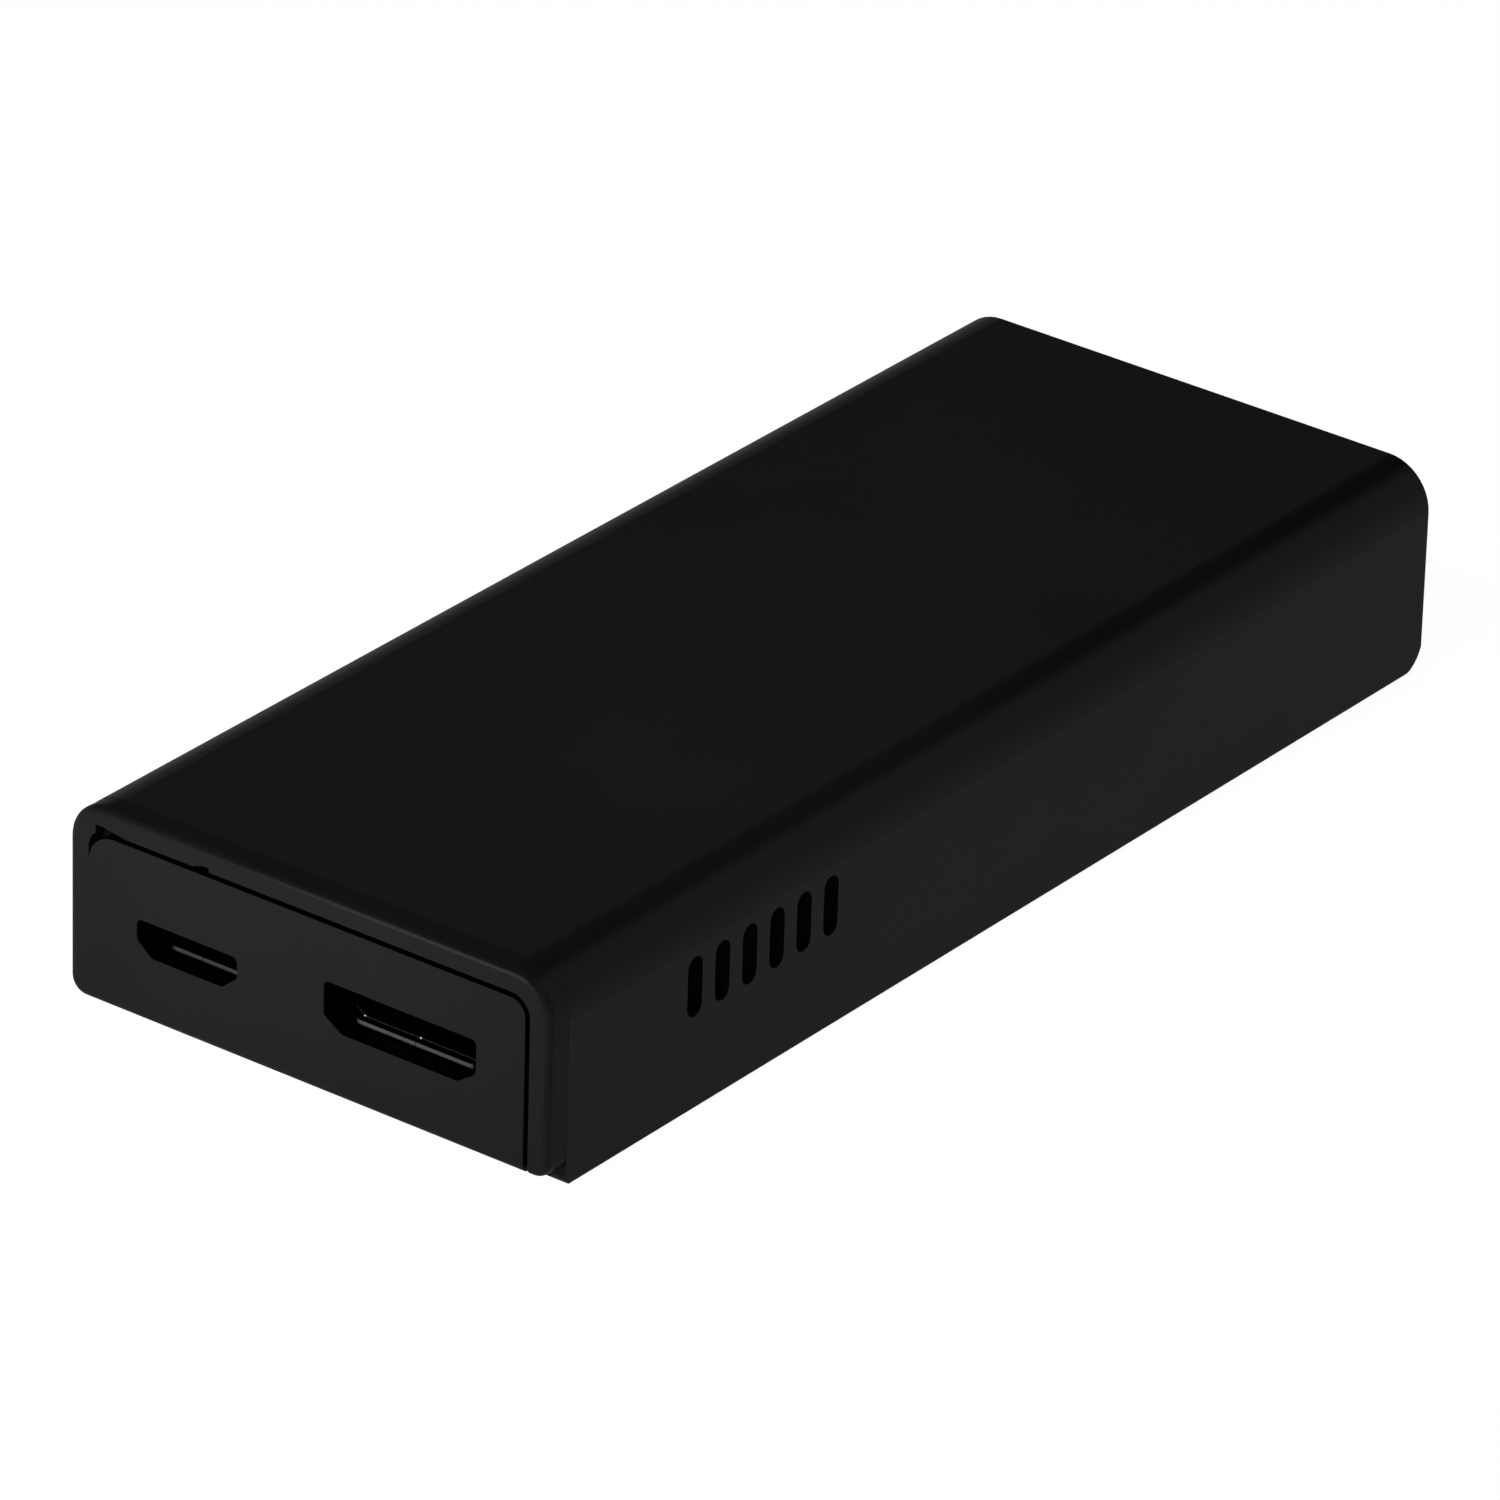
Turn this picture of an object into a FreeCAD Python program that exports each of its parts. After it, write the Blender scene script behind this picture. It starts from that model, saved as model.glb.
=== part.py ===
import FreeCAD, Part
import math
import os

from FreeCAD import Vector

# A pocket media player with the shape of a flat stick. Millimetres, +Z up.
# The origin is at the middle of the underside, the sockets face -Y and the plain end faces +Y.

# Outside of the case
body_length = 89.6
body_width = 37.0
body_height = 14.2
top_edge_radius = 3.2
rear_edge_bevel = 0.12
rear_foot_radius = 2.3
front_foot_radius = 0.7
long_foot_radius = 0.25
mouth_edge_bevel = 0.03
shell_wall = 1.2

# Bezel, the inverted U around the port wall. Its rim widens towards the shell, which it meets flush.
bezel_proud = 1.5
bezel_side_inset = 0.25
bezel_top_inset = 0.15
bezel_rear_inset = 0.03
bezel_width = 1.45
bezel_corner_radius = 2.4
bezel_opening_radius = 1.4
bezel_rim_radius = 0.5
bezel_foot_radius = 1.2
notch_height = 0.27
notch_flat = 0.5
notch_depth = 0.9
notch_wide = 2.3
notch_narrow = 1.3
notch_wide_inset = 3.4
notch_narrow_inset = 10.35
spigot_depth = 1.4
spigot_lip = 0.7
spigot_clearance = 0.1

# Tray, the base plate with the port wall
tray_floor = 1.5
tray_gap = 0.15
seam_gap = 0.35
seam_gap_left = 0.01
port_wall_lift = 0.84
port_wall_thickness = 1.3
port_wall_clearance = 0.1
port_wall_corner_radius = 1.1
port_wall_left_radius = 2.0
port_wall_foot_radius = 0.5
port_wall_root = 2.2
gusset_length = 2.2
gusset_thickness = 1.0
gusset_height = 2.2
boss_radius = 2.2
boss_height = 2.9
pilot_radius = 0.7
pilot_floor = 0.5
pinhole_radius = 0.65

# Vent slots, the same on both long sides. Each end is a half circle made of short flats.
vent_count = 6
vent_pitch = 2.655
vent_width = 1.42
vent_height = 4.05
vent_base = 6.36
vent_first = 12.1
vent_flat_count = 6

# Snap hooks on the tray and their pockets in the shell
hook_count = 3
hook_length = 4.0
hook_thickness = 0.9
hook_top = 5.7
hook_catch_base = 4.3
hook_catch_depth = 0.45
hook_pocket_depth = 0.5
hook_clearance = 0.15
hook_first = 5.3
hook_last = 12.0

# Ribs of the shell that hold the board down
rib_count = 4
rib_thickness = 1.0
rib_overlap = 1.0
rib_clearance = 0.1
rib_first = 8.8
rib_last = 7.0

# Main board and its screws
board_thickness = 1.0
board_side_gap = 1.5
board_front_gap = 1.8
board_rear_gap = 1.8
board_corner_radius = 0.8
screw_inset_side = 3.0
screw_front = 8.5
screw_rear = 4.5
screw_shank_clearance = 0.05
screw_hole_clearance = 0.3
screw_head_radius = 1.6
screw_crown_radius = 1.15
screw_head_height = 1.0
screw_tip_gap = 0.3
screw_slot_width = 0.45
screw_slot_length = 1.9
screw_slot_depth = 0.4

# Cut-outs in the port wall
port_sill = 0.13
port_corner_radius = 0.4
power_port_inset = 9.35
power_port_width = 7.75
power_port_height = 2.35
power_port_chamfer = 1.15
power_port_chamfer_height = 0.95
video_port_inset = 11.4
video_port_width = 11.5
video_port_height = 3.2
video_port_chamfer = 1.4
video_port_chamfer_height = 0.9

# Sockets behind the cut-outs
socket_setback = 0.2
socket_sheet = 0.3
socket_fold_radius = 0.45
socket_seam = 0.06
socket_fit = 0.03
socket_leg_length = 1.0
socket_leg_clearance = 0.15
socket_leg_front = 0.8
socket_leg_rear = 0.9
tongue_chamfer = 0.15
power_socket_width = 7.5
power_socket_height = 2.45
power_socket_length = 5.0
power_socket_chamfer = 1.0
power_socket_chamfer_height = 0.85
power_block_length = 1.5
power_tongue_width = 4.4
power_tongue_thickness = 0.5
power_tongue_drop = 0.45
power_tongue_setback = 0.8
power_contact_count = 5
power_contact_pitch = 0.65
power_contact_width = 0.3
video_socket_width = 11.2
video_socket_height = 3.15
video_socket_length = 7.4
video_socket_chamfer = 1.3
video_socket_chamfer_height = 0.85
video_block_length = 2.2
video_tongue_width = 8.4
video_tongue_thickness = 0.6
video_tongue_drop = 1.0
video_tongue_setback = 0.9
video_contact_count = 10
video_contact_pitch = 0.8
video_contact_width = 0.26
contact_sheet = 0.12
contact_tip_gap = 0.5
contact_exit = 0.2
contact_row_step = 0.35
contact_foot_length = 0.9

# Heat path
processor_size = 14.0
processor_base_height = 0.5
processor_lid_size = 11.0
processor_lid_height = 0.7
processor_lid_radius = 0.6
thermal_pad_size = 12.0
thermal_pad_height = 0.5
heat_sink_side_gap = 2.8
heat_sink_front_gap = 2.55
heat_sink_rear_gap = 5.5
heat_sink_base = 1.2
heat_sink_head_room = 1.3
heat_sink_fin_thickness = 0.9
heat_sink_fin_count = 9

# Chips and small parts on the board: a row behind the sockets, the heat path, and a row at the rear
chip_bevel = 0.12
chip_corner_cut = 0.7
memory_width = 9.0
memory_length = 13.0
memory_height = 1.0
memory_split = 4.0
memory_rear_gap = 3.0
memory_front_gap = 2.5
rear_row_inset = 15.8
storage_width = 11.5
storage_length = 13.0
storage_height = 1.0
storage_side_gap = 1.3
power_row_inset = 13.3
power_chip_size = 6.0
power_chip_height = 0.85
coil_count = 3
coil_size = 4.0
coil_height = 2.0
coil_corner_cut = 0.7
coil_core_radius = 1.5
coil_core_drop = 0.2
coil_pitch = 4.6
coil_side_gap = 1.4
bulk_capacitor_radius = 2.5
bulk_capacitor_height = 5.2
bulk_capacitor_base = 0.8
bulk_capacitor_border = 0.15
bulk_capacitor_bevel = 0.3
bulk_capacitor_side_gap = 0.95
crystal_length = 3.2
crystal_width = 2.5
crystal_height = 0.7
crystal_border = 0.15
crystal_gap = 2.95
wireless_size = 12.0
wireless_board_height = 0.8
wireless_side_gap = 1.3
wireless_can_inset = 0.6
wireless_can_height = 1.3
wireless_can_sheet = 0.15
wireless_can_bevel = 0.25
wireless_pad_count = 4
wireless_pad_radius = 0.3
wireless_pad_margin = 1.6
wireless_pad_flat_count = 8
antenna_length = 16.0
antenna_depth = 3.2
antenna_height = 4.2
antenna_sheet = 0.3
antenna_leg_width = 1.4
antenna_leg_foot = 1.0
antenna_feed_gap = 3.5
antenna_skirt_drop = 2.7
antenna_rear_gap = 2.0
ceramic_length = 1.0
ceramic_width = 0.5
ceramic_height = 0.5
ceramic_pitch = 1.6
ceramic_per_side = 7
ceramic_gap = 1.0

# Recovery switch under the board, reached through the pinhole
switch_side_inset = 7.8
switch_rear_inset = 10.8
switch_length = 3.6
switch_width = 3.0
switch_base = 0.4
switch_pocket_radius = 1.3
switch_pocket_depth = 0.85
switch_cover = 0.15
button_radius = 0.75
button_clearance = 0.06
button_flange_radius = 1.1
button_flange_height = 0.25
button_reach = 0.5
button_bevel = 0.15
button_travel = 0.25
dome_radius = 1.15
dome_crown_radius = 0.4
dome_sheet = 0.08
dome_gap = 0.03

# How far a cut, or the root of a joined form, reaches past the face that it meets
past = 0.5

# Planes and edges that several pieces share
front_y = -body_length / 2
rear_y = body_length / 2
shell_front_y = front_y + bezel_proud
side_x = body_width / 2
power_port_x = power_port_inset - side_x
video_port_x = side_x - video_port_inset
notch_wide_x = notch_wide_inset - side_x
notch_narrow_x = notch_narrow_inset - side_x
inner_x = side_x - shell_wall
inner_top_z = body_height - shell_wall
inner_rear_y = rear_y - shell_wall
inner_radius = max(top_edge_radius - shell_wall, 0.3)
bezel_x = side_x - bezel_side_inset
bezel_top_z = body_height - bezel_top_inset
opening_x = bezel_x - bezel_width
opening_top_z = bezel_top_z - bezel_width
wall_rear_y = front_y + port_wall_thickness
lip_front_y = wall_rear_y + port_wall_clearance
board_width = 2 * (inner_x - board_side_gap)
board_side = board_width / 2
board_front_y = shell_front_y + board_front_gap
board_rear_y = inner_rear_y - board_rear_gap
board_bottom_z = tray_floor + boss_height
board_top_z = board_bottom_z + board_thickness
port_base_z = board_top_z - port_sill
socket_front_y = wall_rear_y + socket_setback
screw_x = board_side - screw_inset_side
screw_places = [
    (side * screw_x, y)
    for side in (-1, 1)
    for y in (board_front_y + screw_front, board_rear_y - screw_rear)
]

# Places of the chips and small parts, from the board's ends and sides
rear_row_y = board_rear_y - rear_row_inset
storage_x = storage_side_gap + storage_width / 2 - board_side
wireless_x = board_side - wireless_side_gap - wireless_size / 2
memory_x = (memory_split + memory_width) / 2
memory_rear_y = rear_row_y - storage_length / 2 - memory_rear_gap
memory_y = memory_rear_y - memory_length / 2
processor_y = memory_rear_y - memory_length - memory_front_gap - processor_size / 2
crystal_x = -(processor_size / 2 + crystal_gap + crystal_width / 2)
power_row_y = board_front_y + power_row_inset
coil_first_x = coil_side_gap + coil_size / 2 - board_side
coil_last_x = coil_first_x + coil_pitch * (coil_count - 1)
bulk_capacitor_half = bulk_capacitor_radius + bulk_capacitor_border
bulk_capacitor_x = board_side - bulk_capacitor_side_gap - bulk_capacitor_half
power_chip_x = (coil_last_x + coil_size / 2 + bulk_capacitor_x - bulk_capacitor_half) / 2
heat_sink_width = board_width - 2 * heat_sink_side_gap
heat_sink_front_y = power_row_y + bulk_capacitor_half + heat_sink_front_gap
heat_sink_rear_y = memory_rear_y - heat_sink_rear_gap
heat_sink_top_z = inner_top_z - heat_sink_head_room
thermal_pad_z = board_top_z + processor_base_height + processor_lid_height
antenna_y = board_rear_y - antenna_rear_gap - antenna_depth / 2
switch_x = board_side - switch_side_inset
switch_y = board_rear_y - switch_rear_inset


def spread(first, last, count):
    """Evenly spaced places from first to last."""
    step = (last - first) / (count - 1)
    return [first + step * i for i in range(count)]


def box(x, y, z, dx, dy, dz):
    """A block that is centred on x and y and stands on z."""
    return Part.makeBox(dx, dy, dz, Vector(x - dx / 2, y - dy / 2, z))


def block(x0, x1, y0, y1, z0, z1):
    """A block between two corners."""
    return Part.makeBox(x1 - x0, y1 - y0, z1 - z0, Vector(x0, y0, z0))


def rounded_wire(corners, place):
    """A closed outline through (u, v, radius) corners. place turns u and v into a point."""
    edges = []
    starts = []
    ends = []
    for i, (u, v, radius) in enumerate(corners):
        here = Vector(u, v, 0)
        before = Vector(*corners[i - 1][:2], 0) - here
        after = Vector(*corners[(i + 1) % len(corners)][:2], 0) - here
        before.normalize()
        after.normalize()
        if radius <= 0:
            starts.append(here)
            ends.append(here)
            continue
        half = before.getAngle(after) / 2
        reach = radius / math.tan(half)
        starts.append(here + before * reach)
        ends.append(here + after * reach)
        bisector = before + after
        bisector.normalize()
        middle = here + bisector * (radius / math.sin(half) - radius)
        points = [place(p.x, p.y) for p in (starts[-1], middle, ends[-1])]
        edges.append(Part.Arc(*points).toShape())
    for i in range(len(corners)):
        start = place(ends[i - 1].x, ends[i - 1].y)
        end = place(starts[i].x, starts[i].y)
        if start.distanceToPoint(end) > 1e-6:
            edges.append(Part.LineSegment(start, end).toShape())
    return Part.Wire(Part.__sortEdges__(edges))


def taper_y(front_corners, rear_corners, y0, y1):
    """A solid with straight sides between two outlines in X and Z at two places along Y."""
    front = rounded_wire(front_corners, lambda u, v: Vector(u, y0, v))
    rear = rounded_wire(rear_corners, lambda u, v: Vector(u, y1, v))
    faces = Part.makeLoft([front, rear], True, True).Faces
    flat_or_curved = [Part.Face(f.findPlane(), f.OuterWire) if f.findPlane() else f for f in faces]
    return Part.Solid(Part.Shell(flat_or_curved))


def prism_y(corners, y0, y1):
    """A solid with an outline in X and Z, between two places along Y."""
    wire = rounded_wire(corners, lambda u, v: Vector(u, y0, v))
    return Part.Face(wire).extrude(Vector(0, y1 - y0, 0))


def prism_z(corners, z0, z1):
    """A solid with an outline in X and Y, between two heights."""
    wire = rounded_wire(corners, lambda u, v: Vector(u, v, z0))
    return Part.Face(wire).extrude(Vector(0, 0, z1 - z0))


def prism_x(corners, x0, x1):
    """A solid with an outline in Y and Z, between two places along X."""
    wire = rounded_wire(corners, lambda u, v: Vector(x0, u, v))
    return Part.Face(wire).extrude(Vector(x1 - x0, 0, 0))


def arch(half_width, top, base, radius, foot_radius=0.0):
    """An upright outline: round corners at the top, and square or round ones at the base."""
    return [
        (-half_width, base, foot_radius),
        (-half_width, top, radius),
        (half_width, top, radius),
        (half_width, base, foot_radius),
    ]


def case_form():
    """The case's outside as one solid: an arched outline, with the lower corners round at both ends."""
    outline = arch(side_x, body_height, 0, top_edge_radius, long_foot_radius)
    along = prism_y(outline, shell_front_y, rear_y)
    along = along.makeChamfer(rear_edge_bevel, edges_at_y(along, rear_y))
    along = along.makeChamfer(mouth_edge_bevel, edges_at_y(along, shell_front_y))
    across = prism_x([
        (shell_front_y, 0, front_foot_radius),
        (shell_front_y, body_height, 0),
        (rear_y, body_height, 0),
        (rear_y, 0, rear_foot_radius),
    ], -side_x, side_x)
    return along.common(across)


def rectangle(x, y, dx, dy, radius):
    """A rectangle with round corners, as corners for a prism."""
    return [
        (x - dx / 2, y - dy / 2, radius),
        (x + dx / 2, y - dy / 2, radius),
        (x + dx / 2, y + dy / 2, radius),
        (x - dx / 2, y + dy / 2, radius),
    ]


def socket_outline(x, base, width, height, chamfer, chamfer_height, radius, inset=0.0):
    """A socket's outline, square at the top, with both lower corners cut off. inset shrinks it all round."""
    slope = math.atan2(chamfer_height, chamfer)
    shift = inset * math.tan(slope / 2)
    drop = inset * math.tan((math.pi / 2 - slope) / 2)
    left = x - width / 2 + inset
    right = x + width / 2 - inset
    low = base + inset
    high = base + height - inset
    shoulder = base + chamfer_height + drop
    toe = chamfer - inset + shift
    return [
        (left, high, radius),
        (left, shoulder, radius),
        (left + toe, low, radius),
        (right - toe, low, radius),
        (right, shoulder, radius),
        (right, high, radius),
    ]


def edges_at_y(shape, y):
    """The edges that lie wholly at one place along Y."""
    return [e for e in shape.Edges if abs(e.BoundBox.YMin - y) < 1e-4 and abs(e.BoundBox.YMax - y) < 1e-4]


def edges_at_z(shape, z):
    """The edges that lie wholly at one height."""
    return [e for e in shape.Edges if abs(e.BoundBox.ZMin - z) < 1e-4 and abs(e.BoundBox.ZMax - z) < 1e-4]


def joined(first, others):
    """One solid from pieces that touch or overlap."""
    return first.fuse(others).removeSplitter()


def hook_places():
    return spread(shell_front_y + hook_first, rear_y - hook_last, hook_count)


def rib_places():
    return spread(shell_front_y + rib_first, rear_y - rib_last, rib_count)


def vent_slots():
    """One row of upright slots with round ends, cut through both long sides at once."""
    radius = vent_width / 2
    slots = []
    for i in range(vent_count):
        y = shell_front_y + vent_first + vent_pitch * i
        corners = []
        for end_z, start in ((vent_base + radius, math.pi), (vent_base + vent_height - radius, 0)):
            for angle in spread(start, start + math.pi, vent_flat_count + 1):
                corners.append((y + radius * math.cos(angle), end_z + radius * math.sin(angle), 0))
        slots.append(prism_x(corners, -side_x - past, side_x + past))
    return slots


def make_upper_shell():
    outside = case_form()
    cavity = prism_y(arch(inner_x, inner_top_z, -past, inner_radius), shell_front_y - past, inner_rear_y)
    shell = outside.cut([cavity] + vent_slots())
    ribs = []
    pockets = []
    rib_base = board_top_z + rib_clearance
    rib_reach = board_side - rib_overlap
    for side in (-1, 1):
        for y in rib_places():
            near, far = sorted((side * rib_reach, side * (inner_x + shell_wall / 2)))
            ribs.append(block(near, far, y - rib_thickness / 2, y + rib_thickness / 2, rib_base, inner_top_z))
        for y in hook_places():
            near, far = sorted((side * (inner_x - past), side * (inner_x + hook_pocket_depth)))
            long = hook_length / 2 + hook_clearance
            low = hook_catch_base - hook_clearance
            pockets.append(block(near, far, y - long, y + long, low, hook_top + hook_clearance))
    ribs = [r.common(case_form()) for r in ribs]
    return joined(shell, ribs).cut(pockets)


def make_notch(tall_x, low_x):
    """A wedge for a notch in the opening's top edge: tall at one end, run out to nothing at the other."""
    top = opening_top_z + notch_height
    flat_x = tall_x + math.copysign(notch_flat, low_x - tall_x)
    corners = [
        (tall_x, opening_top_z - past, 0),
        (tall_x, top, 0),
        (flat_x, top, 0),
        (low_x, opening_top_z, 0),
        (low_x, opening_top_z - past, 0),
    ]
    return prism_y(corners, front_y - past, front_y + notch_depth)


def make_front_bezel():
    base = port_wall_lift
    front_outline = arch(bezel_x, bezel_top_z, base, bezel_corner_radius, bezel_foot_radius)
    rear_radius = top_edge_radius - bezel_rear_inset
    rear_x = side_x - bezel_rear_inset
    rear_outline = arch(rear_x, body_height - bezel_rear_inset, base, rear_radius, bezel_foot_radius)
    rim = taper_y(front_outline, rear_outline, front_y, shell_front_y)
    rim = rim.makeFillet(bezel_rim_radius, edges_at_y(rim, front_y))
    spigot_x = inner_x - spigot_clearance
    spigot_top = inner_top_z - spigot_clearance
    spigot_base = tray_floor + tray_gap
    spigot_rear_y = shell_front_y + spigot_depth
    spigot = prism_y(arch(spigot_x, spigot_top, spigot_base, inner_radius), shell_front_y, spigot_rear_y)
    opening_outline = arch(opening_x, opening_top_z, -past, bezel_opening_radius)
    opening = prism_y(opening_outline, front_y - past, lip_front_y)
    lip_outline = arch(opening_x - spigot_lip, opening_top_z - spigot_lip, -past, bezel_opening_radius)
    lip_opening = prism_y(lip_outline, front_y, spigot_rear_y + past)
    notches = [
        make_notch(notch_wide_x - notch_wide / 2, notch_wide_x + notch_wide / 2),
        make_notch(notch_narrow_x + notch_narrow / 2, notch_narrow_x - notch_narrow / 2),
    ]
    return joined(rim, [spigot]).cut([opening, lip_opening] + notches)


def port_cutouts():
    through = (front_y - past, wall_rear_y + past)
    power = socket_outline(power_port_x, port_base_z, power_port_width, power_port_height,
                           power_port_chamfer, power_port_chamfer_height, port_corner_radius)
    video = socket_outline(video_port_x, port_base_z, video_port_width, video_port_height,
                           video_port_chamfer, video_port_chamfer_height, port_corner_radius)
    return [prism_y(power, *through), prism_y(video, *through)]


def make_hook(side, y):
    """An upright tab with a catch that points outwards. Its outline lies in X and Z."""
    outer = inner_x - tray_gap
    inner = outer - hook_thickness
    tip = inner_x + hook_catch_depth - hook_clearance
    corners = [
        (side * inner, tray_floor - past, 0),
        (side * inner, hook_top, 0),
        (side * outer, hook_top, 0),
        (side * tip, (hook_top + hook_catch_base) / 2, 0),
        (side * tip, hook_catch_base, 0),
        (side * outer, hook_catch_base, 0),
        (side * outer, tray_floor - past, 0),
    ]
    return prism_y(corners, y - hook_length / 2, y + hook_length / 2)


def make_base_tray():
    plate_x = inner_x - tray_gap
    plate_rear_y = inner_rear_y - tray_gap
    plate = block(-plate_x, plate_x, shell_front_y, plate_rear_y, 0, tray_floor).common(case_form())
    wall_top = opening_top_z - seam_gap
    wall_left = -(opening_x - seam_gap_left)
    wall_right = opening_x - seam_gap
    wall_outline = [
        (wall_left, port_wall_lift, 0),
        (wall_left, wall_top, port_wall_left_radius),
        (wall_right, wall_top, port_wall_corner_radius),
        (wall_right, port_wall_lift, 0),
    ]
    wall = prism_y(wall_outline, front_y, wall_rear_y)
    foot = [e for e in edges_at_y(wall, front_y) if e.BoundBox.ZMax < port_wall_lift + 0.01]
    wall = wall.makeFillet(port_wall_foot_radius, foot).cut(port_cutouts())
    root_x = opening_x - spigot_lip - seam_gap
    root_rear_y = shell_front_y + port_wall_thickness
    root = block(-root_x, root_x, wall_rear_y - past, root_rear_y, port_wall_lift, port_wall_root)
    added = [wall, root]
    gusset_end = board_front_y - seam_gap
    for x in (-root_x + gusset_thickness, (power_port_x + video_port_x) / 2, root_x - gusset_thickness):
        corners = [
            (wall_rear_y - past, tray_floor - past, 0),
            (wall_rear_y - past, tray_floor + gusset_height, 0),
            (min(wall_rear_y + gusset_length, gusset_end), tray_floor - past, 0),
        ]
        added.append(prism_x(corners, x - gusset_thickness / 2, x + gusset_thickness / 2))
    for side in (-1, 1):
        for y in hook_places():
            added.append(make_hook(side, y))
    holes = []
    for x, y in screw_places:
        added.append(Part.makeCylinder(boss_radius, boss_height + past, Vector(x, y, tray_floor - past)))
        holes.append(Part.makeCylinder(pilot_radius, board_bottom_z, Vector(x, y, pilot_floor)))
    holes.append(Part.makeCylinder(pinhole_radius, tray_floor + 2 * past, Vector(switch_x, switch_y, -past)))
    return joined(plate, added).cut(holes)


def make_main_board():
    length = board_rear_y - board_front_y
    middle_y = (board_front_y + board_rear_y) / 2
    outline = rectangle(0, middle_y, board_width, length, board_corner_radius)
    board = prism_z(outline, board_bottom_z, board_top_z)
    holes = []
    hole_radius = pilot_radius + screw_hole_clearance
    hole_base_z = board_bottom_z - past
    hole_height = board_thickness + 2 * past
    for x, y in screw_places:
        holes.append(Part.makeCylinder(hole_radius, hole_height, Vector(x, y, hole_base_z)))
    gap = 2 * socket_leg_clearance
    for socket in (power_socket, video_socket):
        for x, y in socket_leg_places(socket):
            holes.append(box(x, y, hole_base_z, socket_sheet + gap, socket_leg_length + gap, hole_height))
    return board.cut(holes)


def make_board_screws():
    """Screws with a tapered head and a cross slot, each down its boss."""
    shank_radius = pilot_radius - screw_shank_clearance
    tip_z = pilot_floor + screw_tip_gap
    slot_z = board_top_z + screw_head_height - screw_slot_depth
    slot_height = screw_slot_depth + past
    screws = []
    for x, y in screw_places:
        place = Vector(x, y, board_top_z)
        head = Part.makeCone(screw_head_radius, screw_crown_radius, screw_head_height, place)
        shank = Part.makeCylinder(shank_radius, board_top_z + past - tip_z, Vector(x, y, tip_z))
        slots = [
            box(x, y, slot_z, screw_slot_length, screw_slot_width, slot_height),
            box(x, y, slot_z, screw_slot_width, screw_slot_length, slot_height),
        ]
        screws.append(joined(head, [shank]).cut(slots))
    return Part.makeCompound(screws)


power_socket = {
    "x": power_port_x, "width": power_socket_width, "height": power_socket_height,
    "length": power_socket_length, "chamfer": power_socket_chamfer, "rise": power_socket_chamfer_height,
    "block": power_block_length, "tongue_width": power_tongue_width, "tongue": power_tongue_thickness,
    "tongue_drop": power_tongue_drop, "tongue_setback": power_tongue_setback,
    "contacts": power_contact_count, "pitch": power_contact_pitch, "contact_width": power_contact_width,
}
video_socket = {
    "x": video_port_x, "width": video_socket_width, "height": video_socket_height,
    "length": video_socket_length, "chamfer": video_socket_chamfer, "rise": video_socket_chamfer_height,
    "block": video_block_length, "tongue_width": video_tongue_width, "tongue": video_tongue_thickness,
    "tongue_drop": video_tongue_drop, "tongue_setback": video_tongue_setback,
    "contacts": video_contact_count, "pitch": video_contact_pitch, "contact_width": video_contact_width,
}


def socket_leg_places(socket):
    """Two legs on each side of a socket's metal shell, over the board."""
    first = board_front_y + socket_leg_front
    last = socket_front_y + socket["length"] - socket_leg_rear
    x = socket["width"] / 2 - socket_sheet / 2
    return [(socket["x"] + side * x, y) for side in (-1, 1) for y in (first, last)]


def socket_corners(socket, inset, radius):
    return socket_outline(socket["x"], board_top_z, socket["width"], socket["height"],
                          socket["chamfer"], socket["rise"], radius, inset)


def make_socket_shell(socket):
    """A folded sheet tube, open at both ends, with its seam below and four legs through the board."""
    rear = socket_front_y + socket["length"]
    outside = prism_y(socket_corners(socket, 0, socket_fold_radius), socket_front_y, rear)
    inside = prism_y(socket_corners(socket, socket_sheet, 0), socket_front_y - past, rear + past)
    leg_top = board_top_z + socket["rise"] + socket_sheet
    legs = [
        box(x, y, board_bottom_z, socket_sheet, socket_leg_length, leg_top - board_bottom_z)
        for x, y in socket_leg_places(socket)
    ]
    half = socket_seam / 2
    left = socket["x"] - half
    right = socket["x"] + half
    seam_top = board_top_z + socket_sheet + half
    seam = block(left, right, socket_front_y - past, rear + past, board_bottom_z, seam_top)
    return joined(outside, legs).cut([inside, seam])


def tongue_box(socket):
    """The tongue's sides, ends and faces. It hangs below the shell's top sheet."""
    high = board_top_z + socket["height"] - socket_sheet - socket["tongue_drop"]
    half = socket["tongue_width"] / 2
    y0 = socket_front_y + socket["tongue_setback"]
    y1 = socket_front_y + socket["length"] - socket["block"] / 2
    return (socket["x"] - half, socket["x"] + half, y0, y1, high - socket["tongue"], high)


def make_contacts(socket, rows):
    """Bent strips: along a face of the tongue, out through the block, down to the board and along it."""
    x0, x1, y0, y1, z0, z1 = tongue_box(socket)
    rear = socket_front_y + socket["length"]
    half = socket["contact_width"] / 2
    contacts = []
    for row_number, row in enumerate(rows):
        count = socket["contacts"] - row_number
        low = z0 if row == "under" else z1 - contact_sheet
        drop_y = rear + contact_exit + contact_row_step * row_number
        foot_y = drop_y + contact_foot_length
        reach = socket["pitch"] * (count - 1) / 2
        for x in spread(socket["x"] - reach, socket["x"] + reach, count):
            left = x - half
            right = x + half
            strip = block(left, right, y0 + contact_tip_gap, drop_y + contact_sheet, low, low + contact_sheet)
            drop = block(left, right, drop_y, drop_y + contact_sheet, board_top_z, low + contact_sheet)
            foot = block(left, right, drop_y, foot_y, board_top_z, board_top_z + contact_sheet)
            contacts.append(joined(strip, [drop, foot]))
    return Part.makeCompound(contacts)


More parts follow.
